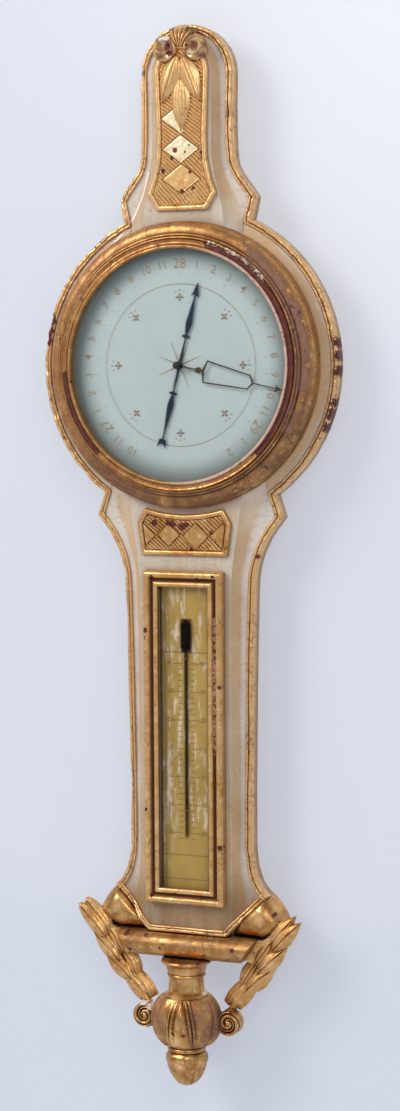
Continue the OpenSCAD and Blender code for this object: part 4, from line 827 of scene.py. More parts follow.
# How far inwards and how far forward
EDGE_PROFILE = (
    [(3, 17), (3, 4), (0.9, 4), (0.4, 5), (0, 16.2)]
    + round_top(2.15, 18.9, 2.15, 190, 140, 4)
    + round_top(2.35, 19.3, 2.3, 130, 15, 8)
    + round_top(5.4, 21.0, 1.15, 170, 0, 7)
    + [(6.5, 19.4), (6.5, 17)]
)
# The beads stand above this depth
BEAD_F = 18


def edge_sweep(stations, corners, seed, lifts=None, nicks=()):
    """The two beads of the gilt edge along stations, a little uneven as a carver leaves them.
    nicks are (x, z, reach, depth) where a flake of gesso has gone."""
    full = fair(stations, corners, 5)
    line = [2 * full[0] - full[1], *full, 2 * full[-1] - full[-2]]
    rings, chips = [], []
    for i in range(1, len(line) - 1):
        b = line[i]
        across = mitre(line[i - 1], b, line[i + 1])
        lift = lifts[i - 1] if lifts else 0.0
        shift = 0.6 * grain(b[0], b[1], 16, seed) + 0.6 * grain(b[0], b[1], 4.5, seed + 3)
        rise = 0.35 * grain(b[0], b[1], 18, seed + 7) + 0.5 * grain(b[0], b[1], 5, seed + 9) - 0.25
        rise -= 2.6 * max(0.0, grain(b[0], b[1], 6, seed + 21) - 0.3)
        chip = 0.0
        for x, z, reach, depth in nicks:
            near = 1 - math.hypot(b[0] - x, b[1] - z) / reach
            if near > 0:
                chip = max(chip, min(1, 2.5 * near) * depth)
        ring = []
        for d, f in EDGE_PROFILE:
            bite, aside = 0.0, 0.0
            if f > BEAD_F and d < 5:
                bite = chip * (0.55 + 0.45 * grain(b[0] + d, b[1], 3, seed + 5))
            if d <= 0.5:
                aside = max(0.0, shift)
            elif f > BEAD_F and d < 6:
                aside = shift
            inward = max(0.0, d + aside + (1.7 * bite if d < 2.5 else 0))
            height = f + lift + (rise - 2.0 * bite if f > BEAD_F else 0.0)
            p = b + inward * across
            ring.append((p[0], height, p[1]))
            chips.append(0.45 * bite if d < 4.5 else 0.0)
        rings.append(ring)
    return rings, chips


def gilt_edge(name, rings, chips):
    """A run of the edge, which knows where it is chipped."""
    piece(name, *skin(rings), GOLD_EDGE, stands_for=(name,), smooth=50, marks={"chip": chips})


edge_corners = [I_EAR, I_NOTCH, I_TRUNK - 1, I_TRUNK + 1]
# Flakes and dents of each side: place, reach and depth
NICKS_RIGHT = [
    (47.5, 231, 5, 1.0), (60, 172, 3, 0.7), (67, 142, 4, 0.6), (92, 117, 6, 0.8), (104, 106, 4, 0.7),
    (149, 20, 7, 0.9), (150, -8, 9, 1.0), (147, -33, 8, 1.0), (132, -66, 7, 0.8), (68, -177, 6, 1.0),
    (66, -222, 3, 0.6), (64, -310, 3, 0.7), (64, -352, 4, 0.6), (63, -405, 3, 0.8), (63, -440, 4, 0.5),
    (112, 98, 5, 0.7), (139, 56, 5, 0.6),
]
NICKS_LEFT = [
    (45.5, 273, 6, 0.9), (47, 236, 3, 0.6), (69, 155, 5, 0.9), (93, 118, 13, 1.0), (142, 42, 9, 1.0),
    (145, 22, 10, 1.0), (147, -4, 4, 0.7), (110, -100, 6, 0.7), (68, -196, 4, 0.6), (66, -240, 4, 0.7),
    (65, -300, 4, 0.6), (64, -352, 4, 0.8), (64, -400, 7, 1.0), (63, -430, 3, 0.6), (64, -462, 4, 0.7),
]
NICKS_BASE = [(-60, -519, 5, 0.6), (20, -539, 5, 0.5), (58, -521, 4, 0.6)]
for side, tag, seed, nicks in ((1, "right", 2.0, NICKS_RIGHT), (-1, "left", 5.0, NICKS_LEFT)):
    rings, chips = edge_sweep(right_side, edge_corners, seed, nicks=nicks)
    gilt_edge("edge_moulding_" + tag, sided(rings, side), chips)

base_path = [right_side[-1]] + base_edge + [mirrored(right_side)[0]]
lift_line = []
for p in fair(base_path, [5, 6], 5):
    reach = abs(p[0]) - 0.72 * EDGE_W * max(0.0, min(1.0, (abs(p[0]) - 30) / 20))
    lift_line.append(base_lift(min(reach, slant_a[0])))
gilt_edge("base_listel", *edge_sweep(base_path, [5, 6], 8.0, lift_line, NICKS_BASE))

# Painted hollows

SHARES = [i / 22 for i in range(23)]


def hollow_sweep(field, depths, edge, field_corners, edge_corners, seed):
    """The painted hollow between the raised field and the gilt edge."""
    fa, fb = fair(field, field_corners, 5), fair(edge, edge_corners, 5)
    deep = np.interp(np.arange(len(fa)) / 5, np.arange(len(depths)), depths)
    rings = []
    for a, b, f in zip(fa, fb, deep):
        ring = [(a[0], BOARD_F, a[1])]
        for s in SHARES:
            p = a + (b - a) * s
            wave = 0.16 * grain(p[0], p[1], 26, seed) * math.sin(math.pi * s)
            ring.append((p[0], hollow_depth(f, s) + wave, p[1]))
        rings.append([*ring, (b[0], BOARD_F, b[1])])
    return rings


def painted_hollow(name, rings):
    """A hollow whose points know their share of the way out from the field."""
    out = [0.0, *SHARES, 1.0] * len(rings)
    piece(name, *skin(rings), PAINT_HOLLOW, stands_for=(name,), smooth=40, marks={"out": out})


rings = hollow_sweep(neck_line, neck_depths, inner_edge[: I_NOTCH + 1], [24], [I_EAR], 11.0)
painted_hollow("neck_hollow", sided(reversed(rings[1:]), -1) + rings)
last = I_TRUNK - 1 + len(trunk_line)
for side, tag, seed in ((1, "right", 13.0), (-1, "left", 17.0)):
    rings = hollow_sweep(trunk_line, trunk_depths, inner_edge[I_TRUNK - 1 : last], [2], [2], seed)
    painted_hollow("trunk_hollow_" + tag, sided(rings, side))

# The bezel


def turned(profile, steps, wave=0.0, seed=0.0):
    """A closed profile of (radius, depth) turned about the dial's axis, with a hand finisher's
    unevenness of wave millimetres on its front."""
    rings = []
    for i in range(steps):
        a = 2 * math.pi * i / steps
        ring = []
        for r, f in profile:
            off = wave * grain(r * math.cos(a), r * math.sin(a), 30, seed) if f > 30 else 0.0
            ring.append(((r + off) * math.cos(a), f + off, (r + off) * math.sin(a)))
        rings.append(ring)
    return skin(rings, closed_path=True)


# Lip, cove, two beads and the big round
BEZEL_PROFILE = (
    [(111.5, 24), (111.5, 45.2), (108.1, 45.2), (108, 49)]
    + round_top(109.7, 49.3, 1.7, 180, 25, 8)
    + round_top(113.9, 51.9, 2.9, 205, 330, 10)
    + round_top(117.6, 47.4, 1.5, 150, 25, 7)
    + round_top(120.4, 46.1, 1.2, 150, 20, 6)
    + round_top(123.3, 34.5, 10.2, 103, -6, 22)
    + [(133.2, 30), (133.1, 24)]
)
piece("bezel", *turned(BEZEL_PROFILE, 288, 0.18, 21.0), GOLD_BEZEL, stands_for=("bezel",), smooth=50)

# Carved panels


def distance_to(path, x, z, closed=True):
    """How far each point lies from the path."""
    near = np.full(x.shape, 1e9)
    for a, b in zip(path, path[1:] + path[:1] if closed else path[1:]):
        way = b - a
        t = np.clip(((x - a[0]) * way[0] + (z - a[1]) * way[1]) / (way @ way), 0, 1)
        near = np.minimum(near, np.hypot(x - a[0] - t * way[0], z - a[1] - t * way[1]))
    return near


def carved_sheet(x, f, z, foot):
    """Points and faces of a sheet given as grids, with sides down to the depth foot."""
    rows, columns = x.shape
    points = list(zip(x.ravel(), f.ravel(), z.ravel()))
    faces = [
        (i * columns + j, i * columns + j + 1, (i + 1) * columns + j + 1, (i + 1) * columns + j)
        for i in range(rows - 1)
        for j in range(columns - 1)
    ]
    rim = list(range(columns)) + [i * columns + columns - 1 for i in range(1, rows)]
    rim += [(rows - 1) * columns + j for j in range(columns - 2, -1, -1)]
    rim += [i * columns for i in range(rows - 2, 0, -1)]
    start = len(points)
    points += [(points[i][0], foot, points[i][2]) for i in rim]
    n = len(rim)
    faces += [(rim[k], rim[(k + 1) % n], start + (k + 1) % n, start + k) for k in range(n)]
    faces.append(tuple(range(start, start + n)))
    return points, faces


def uneven(x, z, size, seed):
    """The carver's unevenness over grids of places."""
    return np.array([grain(a, b, size, seed) for a, b in zip(x.ravel(), z.ravel())]).reshape(x.shape)


# Depths of the panels' foot, flutes, flats and border, and the border's width
PANEL_F, FLUTE_F, FLAT_F, BORDER_F, BORDER_W = 30.0, 31.6, 33.3, 31.9, 4.9


def panel_height(x, z, path, lozenges, middle, seed):
    """Depth of a panel's face: a broad round border about slanting flutes, with flat lozenges left
    standing among them. lozenges are (x, z, half width, half height, how far right of their middle)."""
    d = distance_to(path, x, z)
    loose = uneven(x, z, 7, seed)
    slope = np.radians(42 + 6 * np.clip((middle - z) / 40, -1, 1))
    across = x * np.sin(slope) + (z - middle) * np.cos(slope)
    ground = FLUTE_F + 1.6 * np.abs(np.sin(math.pi * (across / 3.0 + 0.1 * loose))) ** 0.8
    for cx, cz, w, h, right in lozenges:
        q = np.abs(x - cx) / w + np.abs(z - cz) / h + 0.01 * loose
        q = np.where(x > cx + right, 9.0, q)
        flat = FLAT_F + 0.1 * loose - 0.3 * np.exp(-(((q - 0.93) / 0.015) ** 2))
        ground = np.where(q < 1, flat, np.where(q < 1.045, np.minimum(ground, FLUTE_F + 0.2), ground))
    broad = BORDER_F + 2.05 * np.sqrt(np.clip(1 - ((d - 2.5) / 2.5) ** 2, 0, 1))
    valley = np.minimum(ground, FLUTE_F + np.clip(d - BORDER_W, 0, 2) * 1.4)
    return np.where(d < BORDER_W, broad, valley) + 0.2 * loose * (d < BORDER_W)


CREST_R, CREST_Z, CREST_FOOT = 26.8, ARCH_Z + 0.5, 143.4
crest_top = CREST_Z + CREST_R
crest_side = arc(0, CREST_Z, CREST_R, 80, 0, 24)
flare = ((25.2, 226), (24.6, 212), (25.4, 190), (29.2, 172.5), (34.6, 158.6), (25.1, CREST_FOOT))
crest_side += [np.array(q, float) for q in flare]
crest_path = [np.array([0, crest_top])] + crest_side + mirrored(crest_side)
side_x, side_z = np.array([*reversed(crest_side), (0.0, crest_top)]).T
row_z = np.linspace(CREST_FOOT, crest_top - 0.05, 350)
half = np.maximum(np.interp(row_z, side_z, side_x), 0.4)
x = half[:, None] * np.linspace(-1, 1, 131)[None, :]
z = np.repeat(row_z[:, None], 131, axis=1)
CREST_LOZENGES = [(-0.5, 200, 18.0, 13.0, 99), (0, 172.5, 19.0, 13.8, 99), (0, 228, 20.0, 14.0, 2)]
f = panel_height(x, z, crest_path, CREST_LOZENGES, 190, 31.0)
points, faces = carved_sheet(x, f, z, PANEL_F)
# The two upper lozenges carry a painted sheen, standing for the light their burnish catches
shine = np.zeros(len(points))
for cx, cz, w, h, right in (CREST_LOZENGES[0], CREST_LOZENGES[2]):
    q = np.array([abs(p[0] - cx) / w + abs(p[2] - cz) / h for p in points])
    left_of = np.array([p[0] < cx + right for p in points])
    shine = np.maximum(shine, (q < 0.97) * left_of * 0.85)
painted_sheen_marks = {"painted_sheen": shine}
piece("crest_panel", points, faces, GOLD_CREST, stands_for=("crest_panel",), smooth=65, marks=painted_sheen_marks)

LATTICE_R, LATTICE_X, LATTICE_KNEE, LATTICE_FOOT = 139.4, 47.6, -147.4, -178.0
LATTICE_LOZENGES = [
    (-42, -159.5, 13, 12.2, 99), (-15.3, -158.5, 11.2, 11.0, 99), (12, -159.5, 13, 12.4, 99),
    (39.5, -159.5, 13, 12, 99),
]
lattice_side = arc(0, 0, LATTICE_R, -88, -73.5, 8)
corner = lattice_side[-1]
lattice_side += [np.array([LATTICE_X, LATTICE_KNEE]), np.array([43.4, LATTICE_FOOT])]
lattice_path = [np.array([0, -LATTICE_R])] + lattice_side + mirrored(lattice_side)
column_x = np.linspace(0.05 - LATTICE_X, LATTICE_X - 0.05, 231)
reach = np.abs(column_x)
top = np.where(
    reach < corner[0],
    -np.sqrt(LATTICE_R**2 - np.minimum(reach, 45) ** 2),
    np.interp(reach, [corner[0], LATTICE_X], [corner[1], LATTICE_KNEE]),
)
low = np.interp(reach, [43.4, LATTICE_X], [LATTICE_FOOT, LATTICE_KNEE - 0.05])
share = np.linspace(0, 1, 92)[:, None]
x = np.repeat(column_x[None, :], 92, axis=0)
z = low[None, :] * (1 - share) + top[None, :] * share
f = panel_height(x, z, lattice_path, LATTICE_LOZENGES, -160, 37.0)
lattice = carved_sheet(x, f, z, PANEL_F)
piece("lattice_panel", *lattice, GOLD_LATTICE, stands_for=("lattice_panel",), smooth=65)

# Leaves


def leaf(place, turn, length, width, height, veins, bend=0.0, point=1.0, root=0.0):
    """A carved leaf from its root at place (x, f, z), turned by turn degrees from straight up, with a
    sunk midrib and veins along it, as many on each side as veins. A point below 1 leaves the end
    blunt, and root is the share of it hidden under what it grows from."""
    v = np.linspace(0.0, 1, 45)[:, None]
    s = np.linspace(-1, 1, 27)[None, :]
    half = width * np.sin(math.pi * np.clip(root + (1 - root) * v, 0.004, 0.996) ** 0.8) ** point
    u = half * s + bend * v * v
    rib = np.exp(-((s / 0.1) ** 2)) * (v < 0.93)
    full = 0.35 + 0.65 * np.sin(math.pi * np.clip(v, 0, 1) ** 0.6) ** 0.5
    swell = height * (0.34 + 0.66 * (1 - np.abs(s) ** 1.7)) * full
    line = np.cos(math.pi * s * veins) ** 8
    up = swell - 0.06 * height * line * (np.abs(s) < 0.93) - 0.13 * height * rib
    turn = math.radians(turn)
    x = place[0] + u * math.cos(turn) - length * v * math.sin(turn)
    z = place[2] + u * math.sin(turn) + length * v * math.cos(turn)
    return carved_sheet(x, place[1] + up, z, place[1])


crest_leaves = [
    leaf((0, 32, 266), 180, 51, 9.4, 4.4, 2),
    leaf((2.4, 32, 286), 198, 47, 9.6, 6.4, 3, bend=-2.5),
    leaf((-2.4, 32, 286), 162, 47, 9.6, 6.4, 3, bend=2.5),
]
piece("crest_leaves", *joined(*crest_leaves), GOLD_CREST, stands_for=("crest_leaves",), smooth=50)


def rod(path, radii, steps=12):
    """A round stem through points (x, f, z)."""
    rings = []
    for i, p in enumerate(path):
        ahead = Vector(path[min(i + 1, len(path) - 1)]) - Vector(path[max(i - 1, 0)])
        side = ahead.cross(Vector((0, 1, 0))).normalized()
        out = side.cross(ahead).normalized()
        spin = [2 * math.pi * k / steps for k in range(steps)]
        rings.append([tuple(Vector(p) + radii[i] * (side * math.cos(a) + out * math.sin(a))) for a in spin])
    return skin(rings)


def prism(path, back, front):
    """A flat piece of the outline path, from the depth back to the depth front."""
    n = len(path)
    points = [(p[0], f, p[1]) for f in (back, front) for p in path]
    faces = [(i, (i + 1) % n, n + (i + 1) % n, n + i) for i in range(n)]
    return points, faces + [tuple(range(n)), tuple(range(2 * n - 1, n - 1, -1))]


VOLUTE_X, VOLUTE_R, VOLUTE_Z = 43.0, 12.5, -620.0
root_z = VOLUTE_Z + VOLUTE_R
LAUREL_F = PENDANT_F - 12
# Each leaf's root x and z from the volute's top, turn, length, half width, lift
LAUREL = [
    (-3, 1.5, -33, 44, 8.3, 0), (2, 3.5, -42, 46, 9.3, 2), (9, 19.5, -30, 44, 8.8, 0),
    (14, 17.5, -48, 42, 9.3, 3), (23, 41.5, -34, 44, 8.8, 1), (27, 35.5, -45, 42, 8.8, 4),
    (39, 62.5, -38, 41, 8.3, 2), (42, 58.5, -42, 42, 8.3, 5),
]
# The lug that holds a branch to the end of the bar
LUG = [(70, -539.8), (75.5, -539.6), (92.8, -529.4), (99, -528), (72.5, -565.7), (56.5, -559.7)]

for side, tag in ((1, "right"), (-1, "left")):
    sprigs = []
    for dx, dz, turn, length, width, lift in LAUREL:
        root = (side * (VOLUTE_X + dx), LAUREL_F + lift, root_z + dz)
        # The left branch has lost the points of its last leaves
        point = 0.42 if side < 0 and dz > 50 else 1.0
        hidden = 0.24 if dz < 5 else 0.0
        sprigs.append(leaf(root, side * turn, length, width, 7.5, 2, side * 1.5, point, hidden))
    stem = [
        (side * (VOLUTE_X + 61 * t), LAUREL_F + 4.5 + 2.0 * math.sin(math.pi * t), root_z - 1.5 + 87 * t)
        for t in np.linspace(0, 1, 14)
    ]
    sprigs.append(rod(stem, [3.4 - 1.6 * i / 13 for i in range(14)]))
    sprigs.append(prism([(side * x, z) for x, z in LUG], 9, LAUREL_F + 6))
    name = "laurel_" + tag
    piece(name, *joined(*sprigs), GOLD_LAUREL, stands_for=(name,), smooth=50)

# Crest loops and fan

LOOP_X, LOOP_Z, LOOP_R = 15.5, 292, 12.0
# For each loop: x, z, turn and depth of its hollow, then x, z and reach of its painted highlight
LOOPS = {
    "right": (1, (-1.8, -1.2, 0.8, 6.4), (11.4, 287.4, 4.0)),
    "left": (-1, (-0.6, 2.2, 0.3, 8.2), (9.5, 284.0, 2.8)),
}
radius = np.linspace(0.05, LOOP_R, 34)[:, None]
turn = np.linspace(0, 2 * math.pi, 73)[None, :-1]
for tag, (side, (pit_x, pit_z, tilt, sunk), (glint_x, glint_z, reach)) in LOOPS.items():
    # A looped ribbon: a broad rim about a slanting hollow, and folds that run to the knot
    near, up = side * radius * np.cos(turn), radius * np.sin(turn)
    crown = np.sqrt(np.clip(1 - (radius / 12.4) ** 2, 0, 1))
    long_way = (near - pit_x) * math.cos(tilt) + (up - pit_z) * math.sin(tilt)
    cross = (up - pit_z) * math.cos(tilt) - (near - pit_x) * math.sin(tilt)
    hollow = np.exp(-(np.hypot(long_way / 6.6, cross / 4.5) ** 4))
    folds = np.cos(8 * np.arctan2(up + 3, near + 11))
    f = 33.0 + 7.4 * crown - sunk * hollow + 1.0 * folds * crown * (1 - hollow)
    if side < 0:
        f = f + 1.5 * np.exp(-(((near - 4.5) ** 2 + (up + 5.5) ** 2) / 13))
    rings = rings_of(side * LOOP_X + radius * np.cos(turn), f, LOOP_Z + up)
    # Painted highlight: points within reach of the given place are marked for pale gold
    painted_highlight = [math.hypot(side * x - glint_x, z - glint_z) < reach for ring in rings for x, f, z in ring]
    glint = [0.8 * b for b in painted_highlight] + [0.0] * 72
    rings.append([(x, 32.0, z) for x, f, z in rings[-1]])
    name = "crest_dome_" + tag
    piece(name, *skin(rings), GOLD_CREST, stands_for=(name,), smooth=60, marks={"painted_sheen": glint})

# Distance from the root, depth at the back, depth in front and height of the ribs
FAN_Z = 291
FAN = [
    (3, 34, 35.4, 0.4), (6, 34, 36, 1), (7.2, 30.4, 36.1, 1.3), (10, 28.6, 36, 2), (14, 24, 34.5, 2.6),
    (19, 21.8, 31.5, 2.4), (22, 21.8, 29, 1.2),
]
turns = [math.radians(128 - 76 * k / 60) for k in range(61)]
reach = np.linspace(3, 22, 30)
back, front, ribs = (np.interp(reach, [q[0] for q in FAN], [q[k] for q in FAN]) for k in (1, 2, 3))
rings = []
for r, b, face, rib in zip(reach, back, front, ribs):
    ring = []
    for k, a in enumerate(turns):
        up = face + rib * abs(math.sin(math.pi * k / 12)) ** 0.8 - 0.05
        ring.append((r * math.cos(a), up, FAN_Z + r * math.sin(a)))
    rings.append(ring + [(r * math.cos(a), b, FAN_Z + r * math.sin(a)) for a in reversed(turns[::20])])
piece("crest_shell", *skin(rings), GOLD_CREST, stands_for=("crest_shell",), smooth=60)

# The pendant


def hanging(name, rings, broad=1.0):
    """A turned piece of the pendant. rings are lists of (radius, z) round its axis, one for each
    height. broad widens the turning sideways, as the wood has shrunk across its grain."""
    n = len(rings[0])
    turns = [2 * math.pi * k / n for k in range(n)]
    placed = [
        [(r * broad * math.sin(a), PENDANT_F + r * math.cos(a), z) for (r, z), a in zip(ring, turns)]
        for ring in rings
    ]
    piece(name, *skin(placed), GOLD_FOOT, stands_for=(name,), smooth=60)


# The ball's lobes are parted by grooves, each with a reed lying in it
GROOVE, SUNK = 3.5, 3.8
rings = []
for i in range(61):
    rise = math.radians(BALL_CAP * (1 - 2 * i / 60))
    low_share = (i / 60) ** 0.8
    ring = []
    for k in range(384):
        off = (360 * k / 384 - 9 + 45) % 90 - 45
        half = 12 + 13 * low_share
        d = abs(abs(off) - half) * math.pi / 180 * BALL_R * math.cos(rise)
        if d < GROOVE:
            sink = SUNK - 2.7 * math.sin(math.pi * d / GROOVE) ** 1.1
        else:
            room = half if abs(off) < half else 45 - half
            room = room * math.pi / 180 * BALL_R * math.cos(rise) - GROOVE
            crown = min(1.0, (d - GROOVE) / max(min(room, 8.0), 1.0))
            sink = SUNK * (1 - math.sin(math.pi / 2 * crown) ** 1.1)
        r = BALL_R * math.cos(rise) * (1 - sink / BALL_R * math.cos(rise))
        ring.append((r + 0.1 * grain(k / 8, i / 4, 3, 41), -BALL_Z + BALL_R * math.sin(rise)))
    rings.append(ring)
hanging("pendant_ball", rings, 1.11)

top, tip = -BALL_Z - BALL_R * math.sin(math.radians(BALL_CAP)), -684.5
bud = [(18.4, top), (18.5, top - 2.2), (17.9, top - 2.3)]
bud += [(17.6 + 2.6 * math.sin(a), top - 4.8 + 2.6 * math.cos(a)) for a in np.linspace(0.35, 2.75, 9)]
bud += [(17.2, top - 7.3)]
cup = [(17.3, top - 6.9), (22.4, top - 7.8), (23.6, top - 14), (21.4, top - 19)]
petals = [(21.4, top - 19), (17.4, tip + 8), (11, tip + 1), (0.4, tip)]
bud += curve(cup, np.linspace(0.1, 1, 12)) + curve(petals, np.linspace(0.04, 1, 22))
rings = []
for r, z in bud:
    r *= 0.91
    ring = []
    for k in range(240):
        a = 2 * math.pi * k / 240
        facet = 0.03 * r * abs(math.cos(4 * a + 0.3)) if z < top - 7.5 else 0.0
        line = 1.2 * math.exp(-(((z - (top - 19.5)) / 0.7) ** 2))
        open_share = min(1.0, max(0.0, (top - 20.5 - z) / 3)) * min(1.0, r / 6)
        petal = 2.2 * abs(math.sin(5 * a + 0.4)) ** 6 * open_share
        ring.append((max(0.2, r - facet - line - petal), z))
    rings.append(ring)
hanging("pendant_bud", rings)

# The curls of the pendant

FACE_R = VOLUTE_R - 0.4
# The seat under the root of the branch
SEAT = [
    (VOLUTE_X - 4, root_z - 3), (VOLUTE_X + 4, root_z - 3), (VOLUTE_X + 3.6, root_z),
    (VOLUTE_X - 3.6, root_z),
]
radius = np.linspace(0.1, FACE_R, 46)[:, None]
for side, tag in ((1, "right"), (-1, "left")):
    # One broad reed with a finer one beside it winds in to the eye
    wound = (VOLUTE_R - radius) / 6.8 - (turn * side + 1.2) / (2 * math.pi)
    share = wound - np.floor(wound)
    broad = np.sin(math.pi * np.minimum(share / 0.62, 1)) ** 0.6
    fine = 0.6 * np.sin(math.pi * np.maximum(share - 0.62, 0) / 0.38) ** 0.7
    reed = np.where(share < 0.62, broad, fine)
    eye = np.clip(1 - (radius / 3.2) ** 2, 0, 1) ** 0.5
    rolled = 1.2 * np.clip((radius - 11) / 1.1, 0, 1)
    f = 34.0 + np.maximum(3.4 * reed * (radius > 2.4), 3.4 * eye) - rolled
    rings = rings_of(side * (VOLUTE_X + radius * np.cos(turn)), f, VOLUTE_Z + radius * np.sin(turn))
    # Grooves run round its side: depth, and how far in
    middle, rim = side * VOLUTE_X, [(x, z) for x, f, z in rings[-1]]
    for depth, groove in ((31.5, 0.0), (28.5, 0.9), (24.5, 0.0), (23.0, 0.5)):
        scale = (FACE_R - groove) / FACE_R
        inner = [(middle + (x - middle) * scale, VOLUTE_Z + (z - VOLUTE_Z) * scale) for x, z in rim]
        rings.append([(x, depth, z) for x, z in inner])
    seat = prism([(side * x, z) for x, z in SEAT], 23.5, 33.0)
    name = "volute_" + tag
    piece(name, *joined(skin(rings), seat), GOLD_FOOT, stands_for=(name,), smooth=55)

# The scrolls

roll = ((85.5, -505.5), (90, -512), (93.6, -518), (94.5, -523), (92, -529), (84, -535), (74, -539))
SCROLL_RIM = [SLANT_TOP, *(np.array(q, float) for q in roll), BASE_CORNER]
along = (BASE_CORNER - SLANT_TOP) / np.linalg.norm(BASE_CORNER - SLANT_TOP)
out = np.array([-along[1], along[0]])
rim_u = np.array([(q - SLANT_TOP) @ along for q in SCROLL_RIM])
rim_v = np.array([(q - SLANT_TOP) @ out for q in SCROLL_RIM])
steps_u = np.linspace(0.25, rim_u.max() - 0.2, 64)
order = np.argsort(rim_u)
reach_v = np.interp(steps_u, rim_u[order], rim_v[order])
u = np.repeat(steps_u[:, None], 30, axis=1)
v = reach_v[:, None] * np.linspace(0, 1, 30)[None, :] ** 0.85
x = SLANT_TOP[0] + u * along[0] + v * out[0]
z = SLANT_TOP[1] + u * along[1] + v * out[1]
inside = distance_to(SCROLL_RIM, x, z, closed=False)
pillow = np.sqrt(np.clip(1 - (1 - np.minimum(inside, 15) / 15) ** 2, 0, 1))
f = 15 + 16.6 * pillow - 3.0 * np.exp(-v / 3.2) - 0.004 * (u - 24) ** 2
for side, tag in ((1, "right"), (-1, "left")):
    dent = 0.35 * uneven(x * side, z, 9, 61)
    name = "scroll_" + tag
    piece(name, *carved_sheet(side * x, f + dent, z, 3.0), GOLD_FOOT, stands_for=(name,), smooth=60)

# The thermometer's spirit

low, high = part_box("thermometer_spirit")
spirit_top, spirit_foot = high[2] * 1000 + HANG_Z, low[2] * 1000 + HANG_Z
stem_f = -(low[1] + high[1]) * 500
bulb_r = (high[0] - low[0]) * 500
bulb_top, bulb_foot = spirit_top - 0.05, -269.0
BORE_R = 0.85
turns = np.linspace(0.06, math.pi / 2, 12)
column = [(bulb_top - bulb_r * (1 - math.cos(a)), bulb_r * math.sin(a)) for a in turns]
for a in np.linspace(0, math.pi / 2, 12):
    narrowed = BORE_R + (bulb_r - BORE_R) * math.cos(a * 0.98)
    column.append((bulb_foot + bulb_r + 1.2 * bulb_r * (math.cos(a) - 1), narrowed))
column += [(z, BORE_R) for z in np.linspace(bulb_foot - 2, spirit_foot + 1.5, 40)]
column = sorted(column + [(spirit_foot + 0.3, 0.6), (spirit_foot, 0.2)], reverse=True)
spirit = rod([(0, stem_f, z) for z, r in column], [r for z, r in column], 32)
piece("thermometer_spirit", *spirit, SPIRIT, stands_for=("thermometer_spirit",), smooth=60)

# Threads and mercury


def stretching(name, moving, fixed_end, finish):
    """A straight thread or column, made where it stands, from its fixed end in the case to its other end at
    the part moving.
    """
    low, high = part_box(name)
    x, f, r = (low[0] + high[0]) * 500, -(low[1] + high[1]) * 500, (high[0] - low[0]) * 500
    foot, top = low[2] * 1000 + HANG_Z, high[2] * 1000 + HANG_Z
    start, end = (top, foot) if fixed_end == "top" else (foot, top)
    run = [(x, f, z) for z in np.linspace(start, end, 40)]
    ends = ("case", moving, metres(*run[0]), metres(*run[-1]))
    piece(name, *rod(run, [r] * 40, 16), finish, ends, (name,), 60)


stretching("float_thread", "float", "top", SILK)
stretching("mercury_short", "float", "foot", QUICKSILVER)
stretching("weight_thread", "counterweight", "top", SILK)

# The setting knob, by radius and depth

KNOB = [
    (0.9, 45.6), (3.3, 45.65), (3.65, 46.1), (3.65, 46.5), (2.7, 47.0), (2.5, 47.4), (3.0, 48.0),
    (3.35, 48.5), (3.1, 49.1), (2.2, 49.5), (0.2, 49.65),
]
turns = [math.radians(7.5 * k) for k in range(48)]
rings = [[(r * math.cos(a), f, r * math.sin(a)) for a in turns] for r, f in KNOB]
piece("setting_knob", *skin(rings), BLACK_HORN, body="setting", stands_for=("setting_knob",), smooth=50)

# Dial markings

INK_T, RING_T = 0.05, 0.04
# One line of the scale of inches, in degrees of the dial
LINE_TURN = 10.6


def printed_ring(radius, width):
    """A thin ring of ink on the dial."""
    inner, outer = radius - width / 2, radius + width / 2
    front = DIAL_F + RING_T
    return turned([(inner, DIAL_F), (inner, front), (outer, front), (outer, DIAL_F)], 240)


def spoke(angle):
    """The ways outwards and along the rim at angle degrees right of the dial's top."""
    a = math.radians(angle)
    return np.array([math.sin(a), math.cos(a)]), np.array([math.cos(a), -math.sin(a)])


def on_spoke(shape, angle, radius):
    """A flat shape of (along the rim, outwards) laid on the dial at angle degrees right of the top."""
    out, along = spoke(angle)
    return prism([out * (radius + v) + along * u for u, v in shape], DIAL_F, DIAL_F + INK_T)


def drop(u, v, w, h):
    """A small oval with its middle at (u, v)."""
    return [(u + w * math.cos(math.pi * k / 6), v + h * math.sin(math.pi * k / 6)) for k in range(12)]


faint = [printed_ring(75.4, 0.75), printed_ring(104.5, 0.45)]
for k in range(8):
    faint.append(on_spoke([(-0.9, 4), (0.9, 4), (0.22, 23.5), (-0.22, 23.5)], 45 * k + 22, 0))
for line in range(-14, 15):
    long = 3.2 if line % 3 == 0 else 2
    faint.append(on_spoke([(-0.25, 0), (0.25, 0), (0.25, long), (-0.25, long)], line * LINE_TURN, 84))
piece("dial_rings_and_rays", *joined(*faint), INK, slot="dial_paper")
# Each little flower's drops: middle, half width and half height
PETALS = [
    (0, 2.2, 1.0, 1.8), (0, -2.1, 1.0, 1.8), (2.3, 0, 1.9, 1.0), (-2.3, 0, 1.9, 1.0), (0, 6.6, 0.8, 0.9),
    (4.2, 5.2, 0.75, 0.75), (-4.2, 5.2, 0.75, 0.75),
]
flowers = [on_spoke(drop(*petal), 45 * k, 63) for k in range(8) for petal in PETALS]
piece("dial_flowers", *joined(*flowers), RUST_INK, slot="dial_paper")


